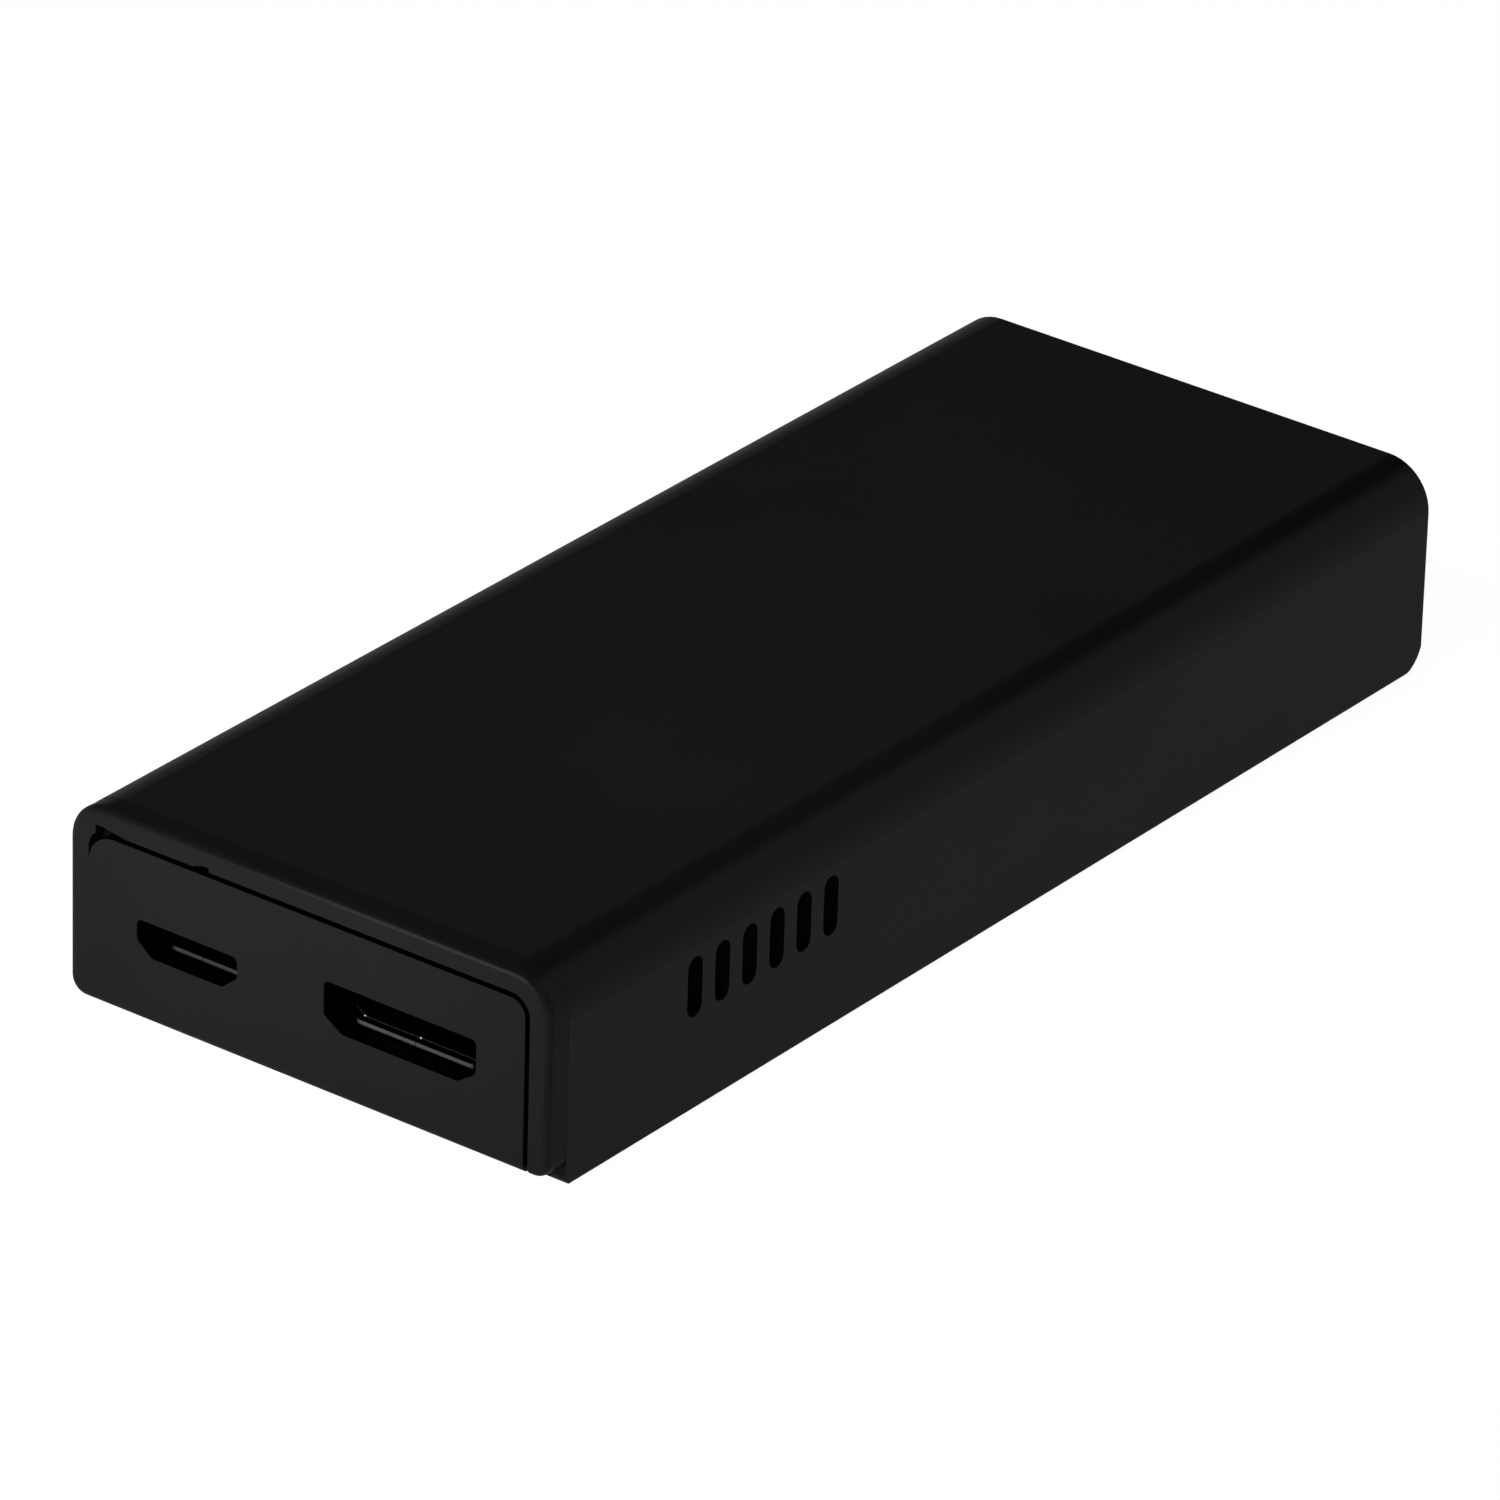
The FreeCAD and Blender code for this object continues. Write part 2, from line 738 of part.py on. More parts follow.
def make_insulator(socket, contacts):
    """The moulded block that closes the metal shell's rear, with the tongue that carries the contacts."""
    rear = socket_front_y + socket["length"]
    body = prism_y(socket_corners(socket, socket_sheet + socket_fit, 0), rear - socket["block"], rear)
    tongue = block(*tongue_box(socket))
    tongue = tongue.makeChamfer(tongue_chamfer, edges_at_y(tongue, tongue.BoundBox.YMin))
    return joined(body, [tongue]).cut(contacts.Solids)


def make_processor():
    base = box(0, processor_y, board_top_z, processor_size, processor_size, processor_base_height)
    outline = rectangle(0, processor_y, processor_lid_size, processor_lid_size, processor_lid_radius)
    return joined(base, [prism_z(outline, board_top_z + processor_base_height, thermal_pad_z)])


def make_thermal_pad():
    return box(0, processor_y, thermal_pad_z, thermal_pad_size, thermal_pad_size, thermal_pad_height)


def make_heat_sink():
    """A base plate on the thermal pad, with upright fins that run along the stick."""
    z = thermal_pad_z + thermal_pad_height
    side = heat_sink_width / 2
    base = block(-side, side, heat_sink_front_y, heat_sink_rear_y, z, z + heat_sink_base)
    fins = []
    for x in spread(-side, side - heat_sink_fin_thickness, heat_sink_fin_count):
        right = x + heat_sink_fin_thickness
        fins.append(block(x, right, heat_sink_front_y, heat_sink_rear_y, z, heat_sink_top_z))
    return joined(base, fins)


def make_chip(x, y, dx, dy, height):
    """A moulded chip with a bevelled top edge and its first corner cut off."""
    left = x - dx / 2
    front = y - dy / 2
    outline = [
        (left + chip_corner_cut, front, 0),
        (left + dx, front, 0),
        (left + dx, front + dy, 0),
        (left, front + dy, 0),
        (left, front + chip_corner_cut, 0),
    ]
    chip = prism_z(outline, board_top_z, board_top_z + height)
    return chip.makeChamfer(chip_bevel, edges_at_z(chip, board_top_z + height))


def make_coil(x):
    """A shielded power coil: a low block with its corners cut off, and a round core set a little lower."""
    coil = box(x, power_row_y, board_top_z, coil_size, coil_size, coil_height)
    upright = [e for e in coil.Edges if e.BoundBox.ZLength > coil_height / 2]
    coil = coil.makeChamfer(coil_corner_cut, upright)
    place = Vector(x, power_row_y, board_top_z + coil_height - coil_core_drop)
    return coil.cut(Part.makeCylinder(coil_core_radius, coil_core_drop + past, place))


def make_bulk_capacitor():
    """A polymer can capacitor with a bevelled top, on its square base."""
    size = 2 * bulk_capacitor_half
    base = box(bulk_capacitor_x, power_row_y, board_top_z, size, size, bulk_capacitor_base)
    place = Vector(bulk_capacitor_x, power_row_y, board_top_z)
    can = Part.makeCylinder(bulk_capacitor_radius, bulk_capacitor_height, place)
    can = can.makeChamfer(bulk_capacitor_bevel, edges_at_z(can, board_top_z + bulk_capacitor_height))
    return joined(base, [can])


def make_crystal():
    """A ceramic base with a metal lid that leaves a border of the base free."""
    base = box(crystal_x, processor_y, board_top_z, crystal_width, crystal_length, crystal_height / 2)
    lid_width = crystal_width - 2 * crystal_border
    lid_length = crystal_length - 2 * crystal_border
    lid = box(crystal_x, processor_y, board_top_z, lid_width, lid_length, crystal_height)
    return joined(base, [lid])


def make_wireless_board():
    """A small board with solder cuts along two sides, each half round and made of short flats."""
    board = box(wireless_x, rear_row_y, board_top_z, wireless_size, wireless_size, wireless_board_height)
    half = wireless_size / 2
    reach = half - wireless_pad_margin
    cuts = []
    for side in (-1, 1):
        for y in spread(rear_row_y - reach, rear_row_y + reach, wireless_pad_count):
            corners = []
            for angle in spread(0, 2 * math.pi, wireless_pad_flat_count + 1)[:-1]:
                u = wireless_x + side * half + wireless_pad_radius * math.cos(angle)
                corners.append((u, y + wireless_pad_radius * math.sin(angle), 0))
            cuts.append(prism_z(corners, board_top_z - past, board_top_z + wireless_board_height + past))
    return board.cut(cuts)


def make_wireless_can():
    """A lid of thin sheet over the small board, with a bevelled top edge."""
    size = wireless_size - 2 * wireless_can_inset
    z = board_top_z + wireless_board_height
    can = box(wireless_x, rear_row_y, z, size, size, wireless_can_height)
    can = can.makeChamfer(wireless_can_bevel, edges_at_z(can, z + wireless_can_height))
    hollow_size = size - 4 * wireless_can_sheet
    hollow_height = wireless_can_height - wireless_can_sheet + past
    return can.cut(box(wireless_x, rear_row_y, z - past, hollow_size, hollow_size, hollow_height))


def make_antenna():
    """An inverted F of sheet metal: a raised strip, a folded skirt and two legs."""
    top = board_top_z + antenna_height
    strip = box(0, antenna_y, top - antenna_sheet, antenna_length, antenna_depth, antenna_sheet)
    front = antenna_y - antenna_depth / 2
    left = -antenna_length / 2
    legs = []
    rear = front + antenna_sheet
    foot_y = front - antenna_leg_foot
    for x in (left, left + antenna_leg_width + antenna_feed_gap):
        right = x + antenna_leg_width
        legs.append(block(x, right, front, rear, board_top_z, top))
        legs.append(block(x, right, foot_y, rear, board_top_z, board_top_z + antenna_sheet))
    skirt_x = antenna_length / 2 - antenna_sheet
    skirt_rear_y = front + antenna_depth
    legs.append(block(skirt_x, skirt_x + antenna_sheet, front, skirt_rear_y, top - antenna_skirt_drop, top))
    return joined(strip, legs)


def make_ceramic_capacitors():
    """Two rows of small capacitors, one on each side of the processor."""
    pieces = []
    reach = ceramic_pitch * (ceramic_per_side - 1) / 2
    for side in (-1, 1):
        x = side * (processor_size / 2 + ceramic_gap)
        for y in spread(processor_y - reach, processor_y + reach, ceramic_per_side):
            pieces.append(box(x, y, board_top_z, ceramic_width, ceramic_length, ceramic_height))
    return Part.makeCompound(pieces)


switch_ceiling_z = board_bottom_z - switch_base
switch_cover_top_z = switch_ceiling_z - switch_pocket_depth
switch_cover_base_z = switch_cover_top_z - switch_cover


def make_switch_body():
    height = board_bottom_z - switch_cover_top_z
    body = box(switch_x, switch_y, switch_cover_top_z, switch_length, switch_width, height)
    place = Vector(switch_x, switch_y, switch_cover_top_z - past)
    return body.cut(Part.makeCylinder(switch_pocket_radius, switch_pocket_depth + past, place))


def make_switch_cover():
    """The thin plate that keeps the button in the switch."""
    cover = box(switch_x, switch_y, switch_cover_base_z, switch_length, switch_width, switch_cover)
    place = Vector(switch_x, switch_y, switch_cover_base_z - past)
    return cover.cut(Part.makeCylinder(button_radius + button_clearance, switch_cover + 2 * past, place))


def make_recovery_button():
    """A round nub that points down to the pinhole, with a flange that the cover holds back."""
    base = switch_cover_base_z - button_reach
    nub = Part.makeCylinder(button_radius, switch_cover_top_z - base, Vector(switch_x, switch_y, base))
    nub = nub.makeChamfer(button_bevel, edges_at_z(nub, base))
    place = Vector(switch_x, switch_y, switch_cover_top_z)
    flange = Part.makeCylinder(button_flange_radius, button_flange_height, place)
    return joined(nub, [flange])


def make_switch_dome():
    """A pressed snap dome: its rim lies on the pocket's ceiling and its flat crown rests on the button."""
    crown_z = switch_cover_top_z + button_flange_height + dome_gap
    height = switch_ceiling_z - dome_gap - crown_z
    outside = Part.makeCone(dome_crown_radius, dome_radius, height, Vector(switch_x, switch_y, crown_z))
    inside = outside.translated(Vector(0, 0, dome_sheet))
    return outside.cut(inside)


def all_pieces():
    """Every piece by its node's name."""
    power_contacts = make_contacts(power_socket, ["under"])
    video_contacts = make_contacts(video_socket, ["under", "over"])
    pieces = {
        "upper_shell": make_upper_shell(),
        "front_bezel": make_front_bezel(),
        "base_tray": make_base_tray(),
        "main_board": make_main_board(),
        "board_screws": make_board_screws(),
        "power_socket_shell": make_socket_shell(power_socket),
        "power_socket_insulator": make_insulator(power_socket, power_contacts),
        "power_socket_contacts": power_contacts,
        "video_socket_shell": make_socket_shell(video_socket),
        "video_socket_insulator": make_insulator(video_socket, video_contacts),
        "video_socket_contacts": video_contacts,
        "processor": make_processor(),
        "thermal_pad": make_thermal_pad(),
        "heat_sink": make_heat_sink(),
        "memory_chip_left": make_chip(-memory_x, memory_y, memory_width, memory_length, memory_height),
        "memory_chip_right": make_chip(memory_x, memory_y, memory_width, memory_length, memory_height),
        "storage_chip": make_chip(storage_x, rear_row_y, storage_width, storage_length, storage_height),
        "power_chip": make_chip(power_chip_x, power_row_y, power_chip_size, power_chip_size,
                                power_chip_height),
        "bulk_capacitor": make_bulk_capacitor(),
        "clock_crystal": make_crystal(),
        "wireless_board": make_wireless_board(),
        "wireless_can": make_wireless_can(),
        "wireless_antenna": make_antenna(),
        "ceramic_capacitors": make_ceramic_capacitors(),
        "recovery_switch_body": make_switch_body(),
        "recovery_switch_cover": make_switch_cover(),
        "recovery_switch_dome": make_switch_dome(),
        "recovery_button": make_recovery_button(),
    }
    for i in range(coil_count):
        pieces["power_coil_%d" % (i + 1)] = make_coil(coil_first_x + coil_pitch * i)
    return pieces


os.makedirs("parts", exist_ok=True)
for name, shape in all_pieces().items():
    shape.exportStep("parts/%s.step" % name)
    print(name, "solids", len(shape.Solids), "volume %.2f" % shape.Volume, "valid", shape.isValid())
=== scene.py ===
import math
import random

import bpy
from mathutils import Matrix, Vector


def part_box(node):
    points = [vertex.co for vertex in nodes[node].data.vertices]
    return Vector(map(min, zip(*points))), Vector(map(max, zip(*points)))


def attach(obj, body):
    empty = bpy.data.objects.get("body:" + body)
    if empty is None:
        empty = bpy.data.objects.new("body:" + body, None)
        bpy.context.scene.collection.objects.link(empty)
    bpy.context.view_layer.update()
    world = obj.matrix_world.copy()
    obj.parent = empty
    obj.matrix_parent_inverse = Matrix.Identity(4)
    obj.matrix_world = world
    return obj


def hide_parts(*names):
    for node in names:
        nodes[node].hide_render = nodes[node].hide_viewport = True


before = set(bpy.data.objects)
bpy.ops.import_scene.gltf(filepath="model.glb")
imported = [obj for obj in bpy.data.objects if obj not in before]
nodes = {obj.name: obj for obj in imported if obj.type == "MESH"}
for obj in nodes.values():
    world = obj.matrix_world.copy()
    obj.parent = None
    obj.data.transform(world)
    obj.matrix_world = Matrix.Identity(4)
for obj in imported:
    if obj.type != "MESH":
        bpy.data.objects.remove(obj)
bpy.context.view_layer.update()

# %% [markdown]
# # A pocket media player, dressed
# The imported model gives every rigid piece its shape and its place, in metres, with the sockets
# facing -Y. This lesson gives each piece its finish, adds the fine repeated pieces with Geometry
# Nodes, and photographs the stick as a small studio would: a pale table, soft lamps and a long
# lens. Nothing here moves or reshapes a piece of the frame.

# %% What the frame holds
MM = 0.001

# %% [markdown]
# ## The camera
# The picture was taken from the right, in front and above, with a long lens, so that lines which
# are parallel on the object are nearly parallel in the picture. A camera is placed here in the
# way a photographer thinks of it: the point it looks at, the direction from there back to the
# lens, the distance, and a slight roll of the camera. The lens is then the focal length that
# makes the object fill the same share of a square frame.

# %% Place the camera
AIM = Vector((15.93, -23.01, 20.01)) * MM
CAMERA_AZIMUTH = math.radians(36.726)
CAMERA_ELEVATION = math.radians(27.366)
CAMERA_ROLL = math.radians(1.639)
CAMERA_DISTANCE = 717.5 * MM
LENS = 291.2
SENSOR_WIDTH = 36
CLIP_START = 0.05
CLIP_END = 10

back = Vector((
    math.sin(CAMERA_AZIMUTH) * math.cos(CAMERA_ELEVATION),
    -math.cos(CAMERA_AZIMUTH) * math.cos(CAMERA_ELEVATION),
    math.sin(CAMERA_ELEVATION),
))
level_right = Vector((0, 0, 1)).cross(back).normalized()
level_up = back.cross(level_right)
right = level_right * math.cos(CAMERA_ROLL) + level_up * math.sin(CAMERA_ROLL)
up = back.cross(right)

camera_data = bpy.data.cameras.new("long_lens")
camera_data.lens = LENS
camera_data.sensor_width = SENSOR_WIDTH
camera_data.clip_start = CLIP_START
camera_data.clip_end = CLIP_END
camera = bpy.data.objects.new("long_lens", camera_data)
turn = Matrix((right, up, back)).transposed()
camera.matrix_world = Matrix.Translation(AIM + back * CAMERA_DISTANCE) @ turn.to_4x4()
bpy.context.scene.collection.objects.link(camera)
bpy.context.scene.camera = camera
print("camera at", [round(v, 4) for v in camera.location])

# %% [markdown]
# ## Small helpers for materials
# A material in Blender is a tree of nodes. Short helpers keep the trees below readable: one
# starts a material and hands back its Principled shader, one adds a node with its values, and
# one joins two sockets. Every pattern reads Object coordinates, so it stays on the piece when
# the piece or the camera moves.

# %% Helpers that build a node tree
def new_material(name, colour, metallic=0.0, roughness=0.5, specular=0.5):
    """Starts a material and gives back it, its tree and its Principled shader."""
    material = bpy.data.materials.new(name)
    material.use_nodes = True
    tree = material.node_tree
    shader = tree.nodes["Principled BSDF"]
    shader.inputs["Base Color"].default_value = (*colour, 1)
    shader.inputs["Metallic"].default_value = metallic
    shader.inputs["Roughness"].default_value = roughness
    shader.inputs["Specular IOR Level"].default_value = specular
    return material, tree, shader


def add(tree, kind, **values):
    """Adds a node and sets its values: sockets by their name, the rest as attributes."""
    node = tree.nodes.new(kind)
    for key, value in values.items():
        name = key.replace("_", " ").lower()
        socket = next((s for s in node.inputs if s.name.lower() == name), None)
        if socket is not None and not hasattr(node, key):
            socket.default_value = value
        else:
            setattr(node, key, value)
    return node


def wire(tree, start, start_name, end, end_name):
    """Joins an output of one node to an input of another, each by its name or its number."""
    tree.links.new(start.outputs[start_name], end.inputs[end_name])

# %% [markdown]
# ## Patterns
# No real surface is the same all over. A noise is the simplest pattern that says so: it is a
# cloud of values that fills space. One helper lays the noise, and three use it, for the colour,
# for the roughness and for the height of the surface. A stretch makes the cloud into streaks
# along an axis.

# %% Helpers that lay a pattern on a surface
NOISE_ROUGHNESS = 0.6


def noise(tree, scale, detail, stretch=(1, 1, 1)):
    """A noise on Object coordinates. scale is in waves for each metre."""
    place = add(tree, "ShaderNodeTexCoord")
    mapping = add(tree, "ShaderNodeMapping")
    mapping.inputs["Scale"].default_value = stretch
    wire(tree, place, "Object", mapping, "Vector")
    pattern = add(tree, "ShaderNodeTexNoise",
                  scale=scale, detail=detail, roughness=NOISE_ROUGHNESS)
    wire(tree, mapping, "Vector", pattern, "Vector")
    return pattern


def two_colours(tree, shader, pattern, dark, light, low=0.35, high=0.65):
    """Colours the surface between two colours by a pattern."""
    ramp = add(tree, "ShaderNodeValToRGB")
    first, last = ramp.color_ramp.elements
    first.position, last.position = low, high
    first.color, last.color = (*dark, 1), (*light, 1)
    wire(tree, pattern, "Fac", ramp, "Fac")
    wire(tree, ramp, "Color", shader, "Base Color")


def rough_between(tree, shader, pattern, low, high):
    """Varies the roughness between two values by a pattern."""
    spread = add(tree, "ShaderNodeMapRange", To_Min=low, To_Max=high)
    wire(tree, pattern, "Fac", spread, "Value")
    wire(tree, spread, "Result", shader, "Roughness")


def bump(tree, shader, pattern, height, output="Fac"):
    """Raises the surface by a pattern. height is in metres."""
    relief = add(tree, "ShaderNodeBump", Strength=1.0, Distance=height)
    wire(tree, pattern, output, relief, "Height")
    wire(tree, relief, "Normal", shader, "Normal")

# %% [markdown]
# ## Masks
# Some pieces have two finishes, such as a board with green faces and bare edges, or a socket
# whose lower lip carries a painted highlight. A mask is a number from 0 to 1 that says where the
# second finish lies. Here it is made of bands: a band is 1 where one of the three Object
# coordinates lies between two values. The product of two bands is 1 only where both are, so
# bands make boxes, and the larger of two masks joins them.

# %% Helpers that build a mask
SOFT_EDGE = 0.01 * MM
OUTSIDE = 0.1 * MM
FAR = 100 * MM


def band(tree, axis, low, high, soft=SOFT_EDGE):
    """1 where the coordinate on an axis ("X", "Y" or "Z") lies from low to high."""
    place = add(tree, "ShaderNodeTexCoord")
    parts = add(tree, "ShaderNodeSeparateXYZ")
    wire(tree, place, "Object", parts, "Vector")
    rising = add(tree, "ShaderNodeMapRange", From_Min=low - soft, From_Max=low + soft)
    falling = add(tree, "ShaderNodeMapRange", From_Min=high + soft, From_Max=high - soft)
    wire(tree, parts, axis, rising, "Value")
    wire(tree, parts, axis, falling, "Value")
    return both(tree, rising.outputs["Result"], falling.outputs["Result"])


def combine(tree, operation, first, second):
    """Works out one mask from two."""
    result = add(tree, "ShaderNodeMath", operation=operation)
    tree.links.new(first, result.inputs[0])
    tree.links.new(second, result.inputs[1])
    return result.outputs[0]


def both(tree, first, second):
    """Where both masks are 1."""
    return combine(tree, "MULTIPLY", first, second)


def either(tree, first, second):
    """Where one of the masks is 1."""
    return combine(tree, "MAXIMUM", first, second)

# %% [markdown]
# ## A second finish
# A mask then mixes a second colour over the first one, or switches a value of the shader, such
# as its roughness. Blender's Mix node keeps its sockets for colours behind those for numbers and
# vectors, all with the same names, so they are picked here by their numbers. The last helper
# hands a finished material to pieces of the frame.

# %% Helpers that use a mask, and one that dresses a piece
MIX_FACTOR, MIX_FIRST_COLOUR, MIX_SECOND_COLOUR = 0, 6, 7
MIX_RESULT_COLOUR = 2


def mix_in(tree, shader, mask, colour):
    """Mixes a colour over the shader's colour where the mask is 1."""
    mix = add(tree, "ShaderNodeMix", data_type="RGBA")
    base = shader.inputs["Base Color"]
    first = mix.inputs[MIX_FIRST_COLOUR]
    first.default_value = base.default_value
    if base.links:
        tree.links.new(base.links[0].from_socket, first)
    mix.inputs[MIX_SECOND_COLOUR].default_value = (*colour, 1)
    tree.links.new(mask, mix.inputs[MIX_FACTOR])
    tree.links.new(mix.outputs[MIX_RESULT_COLOUR], base)


def value_by(tree, shader, name, mask, off, on):
    """Sets one of the shader's values to off or on by a mask."""
    spread = add(tree, "ShaderNodeMapRange", To_Min=off, To_Max=on)
    tree.links.new(mask, spread.inputs["Value"])
    wire(tree, spread, "Result", shader, name)


def dress(material, *names):
    """Gives a material to nodes of the frame."""
    for name in names:
        for slot in nodes[name].material_slots:
            slot.material = material
    print(material.name, "on", ", ".join(names))

# %% [markdown]
# ## The case's plastic
# The case is moulded in a black that is matte rather than glossy: the mould is spark-eroded,
# which leaves a grain of about a tenth of a millimetre that scatters every reflection. The
# colour is nearly black and varies a little, because the skin of a moulding is never quite even.
# A fine noise makes the grain as a bump, and broad noises move the colour and the roughness.
# What sheen is left is a thin coat and not the plastic's own gloss: it mirrors the pale table in
# the upright sides and the dark ceiling in the rounded edges, and that is how the eye reads the
# shape of a black thing.

# %% Matte black moulded plastic
CASE_DARK = (0.0135, 0.0135, 0.0135)
CASE_LIGHT = (0.0165, 0.0165, 0.0165)
COLOUR_CLOUDS = 60
DULL_CLOUDS = 900
SPARK_GRAIN = 9000
GRAIN_HEIGHT = 0.012 * MM
SHEEN = 0.15
SHEEN_ROUGHNESS = 0.28
SHEEN_IOR = 1.5


def moulded_black(name):
    """The plastic of the case, ready for a darker place to be mixed in."""
    material, tree, shader = new_material(name, CASE_LIGHT, roughness=0.6, specular=0.0)
    shader.inputs["Coat Weight"].default_value = SHEEN
    shader.inputs["Coat Roughness"].default_value = SHEEN_ROUGHNESS
    shader.inputs["Coat IOR"].default_value = SHEEN_IOR
    two_colours(tree, shader, noise(tree, COLOUR_CLOUDS, 2), CASE_DARK, CASE_LIGHT)
    rough_between(tree, shader, noise(tree, DULL_CLOUDS, 2), 0.50, 0.66)
    bump(tree, shader, noise(tree, SPARK_GRAIN, 2), GRAIN_HEIGHT)
    return material, tree, shader


case_black, _, _ = moulded_black("case_black")
dress(case_black, "front_bezel")

# %% [markdown]
# ## Painted shade in two places on the case
# The shell and the tray have the same plastic as the bezel, each with one place of painted shade.
# On the shell it is the narrow bevel of its mouth at the joint with the bezel, coloured darker so
# that it catches no light line. On the tray it is the inside of its ports, coloured nearly black
# as their shade. That second mask starts above the foot of the port wall, so that the rounded
# foot keeps its light line.

# %% Painted shade on the shell's mouth bevel and inside the tray's ports
MOUTH_BEVEL = 0.03 * MM
JOINT_SOFTNESS = 0.005 * MM
BEVEL_PAINTED_SHADE = (0.012, 0.012, 0.012)
shell_black, tree, shader = moulded_black("shell_black")
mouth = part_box("upper_shell")[0].y
# Painted shade: the mouth's bevel is coloured darker, so that it shows no light line.
bevel_shade_mask = band(tree, "Y", mouth - OUTSIDE, mouth + MOUTH_BEVEL, JOINT_SOFTNESS)
mix_in(tree, shader, bevel_shade_mask, BEVEL_PAINTED_SHADE)
dress(shell_black, "upper_shell")

PORT_SHADE_START = 0.06 * MM
PORT_PAINTED_SHADE = (0.0005, 0.0005, 0.0005)
WALL_THICKNESS = 1.3 * MM
WALL_FOOT = 1.4 * MM
tray_black, tree, shader = moulded_black("tray_black")
wall_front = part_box("base_tray")[0].y
# Painted shade: the inside of the ports is coloured nearly black.
port_shade_mask = both(
    tree,
    band(tree, "Y", wall_front + PORT_SHADE_START, wall_front + WALL_THICKNESS + OUTSIDE),
    band(tree, "Z", WALL_FOOT, FAR),
)
mix_in(tree, shader, port_shade_mask, PORT_PAINTED_SHADE)
dress(tray_black, "base_tray")

# %% [markdown]
# ## The socket shells
# A socket's metal shell is folded from sheet and plated. Its inside is coloured nearly black as
# painted shade, since little light gets in there. The front of the lower sheet carries a painted
# highlight: a lighter colour that stands for the one light line along the lip in each port. A box
# of three bands marks the lip: the front of the sheet, its lower part, and the flat between the
# two cut-off corners. The outside of the shell, which only shows when the case is open, is
# bright tin: four thin bands along its outer faces mark it, from a little way behind the mouth.

# %% Where the lip and the tinned outside of a socket lie
SOCKET_HEIGHTS = {"power_socket_shell": 2.45 * MM, "video_socket_shell": 3.15 * MM}
SHEET = 0.3 * MM
LIP_DEPTH = 0.035 * MM
LIP_START = 0.06 * MM
LIP_SOFT_HEIGHT = 0.04 * MM
LIP_SOFT_ENDS = 0.15 * MM
SKIN = 0.15 * MM
SKIN_START = 0.7 * MM


def lip_highlight_mask(tree, node, left_cut, right_cut):
    """The front of the lower sheet, between its cut-off corners, where the highlight is painted.
    """
    low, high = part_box(node)
    board_top = high.z - SOCKET_HEIGHTS[node]
    lip_highlight = both(tree, band(tree, "Y", low.y - OUTSIDE, low.y + LIP_DEPTH),
               band(tree, "Z", board_top + LIP_START, board_top + SHEET + OUTSIDE,
                    LIP_SOFT_HEIGHT))
    return both(tree, lip_highlight, band(tree, "X", low.x + left_cut, high.x - right_cut, LIP_SOFT_ENDS))


def skin_mask(tree, node):
    """The top, the rear and the two sides, from a little way behind the mouth."""
    low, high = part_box(node)
    skin = either(tree, band(tree, "Z", high.z - SKIN, high.z + SKIN),
                  band(tree, "Y", high.y - SKIN, high.y + SKIN))
    for side in (low.x, high.x):
        skin = either(tree, skin, band(tree, "X", side - SKIN, side + SKIN))
    return both(tree, skin, band(tree, "Y", low.y + SKIN_START, high.y + SHEET))

# %% Plated sheet in painted shade, with a painted highlight on the lower lip and a tinned outside
SHELL_SHADE_DARK = (0.0005, 0.0005, 0.0005)
SHELL_SHADE_LIGHT = (0.0015, 0.0015, 0.0015)
SHELL_SHADE_CLOUDS = 1500
PLATING_ROUGHNESS = 0.5
TIN = (0.42, 0.42, 0.44)
TIN_METALLIC = 0.9
TIN_ROUGHNESS = 0.32
ROLLING_LINES = 4000
ROLLING_HEIGHT = 0.006 * MM


def plated_shell(name, node, left_cut, right_cut, lip_highlight_colour):
    """The finish of one socket's shell: painted shade inside, a painted highlight on the lip. The
    cuts are the widths of its lower corners.
    """
    material, tree, shader = new_material(name, SHELL_SHADE_LIGHT, specular=0.0)
    lip_highlight = lip_highlight_mask(tree, node, left_cut, right_cut)
    # Painted shade: the plated sheet is coloured nearly black.
    two_colours(tree, shader, noise(tree, SHELL_SHADE_CLOUDS, 3), SHELL_SHADE_DARK, SHELL_SHADE_LIGHT)
    # Painted highlight: the lower lip gets a lighter colour.
    mix_in(tree, shader, lip_highlight, lip_highlight_colour)
    skin = skin_mask(tree, node)
    mix_in(tree, shader, skin, TIN)
    value_by(tree, shader, "Metallic", skin, 0.0, TIN_METALLIC)
    value_by(tree, shader, "Roughness", skin, PLATING_ROUGHNESS, TIN_ROUGHNESS)
    bump(tree, shader, noise(tree, ROLLING_LINES, 3, (1, 0.15, 1)), ROLLING_HEIGHT)
    return material


# The last colour of each shell is the painted highlight on its lip.
power_plating = plated_shell("power_shell_plating", "power_socket_shell",
                             1.5 * MM, 0.9 * MM, (0.085, 0.085, 0.085))
video_plating = plated_shell("video_shell_plating", "video_socket_shell",
                             1.3 * MM, 1.3 * MM, (0.17, 0.17, 0.17))
dress(power_plating, "power_socket_shell")
dress(video_plating, "video_socket_shell")

# %% [markdown]
# ## Metals
# Metal is told apart by the marks of how it was made. Rolled sheet has faint lines along one
# axis, an extruded heat sink has deep ones along its fins, a turned or stamped part is cloudy.
# One helper makes them all: a metallic shader, a noise that is stretched along one axis for the
# lines, and a broad noise for the clouds of dullness.

# %% Worked metals
METAL_CLOUDS = 700
METAL_SHADE = 0.82


def worked_metal(name, colour, rough, lines=(1, 1, 1), fine=6000, depth=0.004 * MM):
    """A metal with fine marks. rough holds the lowest and the highest roughness."""
    material, tree, shader = new_material(name, colour, metallic=1.0)
    darker = tuple(c * METAL_SHADE for c in colour)
    marks = noise(tree, fine, 2, lines)
    two_colours(tree, shader, noise(tree, METAL_CLOUDS, 3), darker, colour)
    rough_between(tree, shader, marks, *rough)
    bump(tree, shader, marks, depth)
    return material


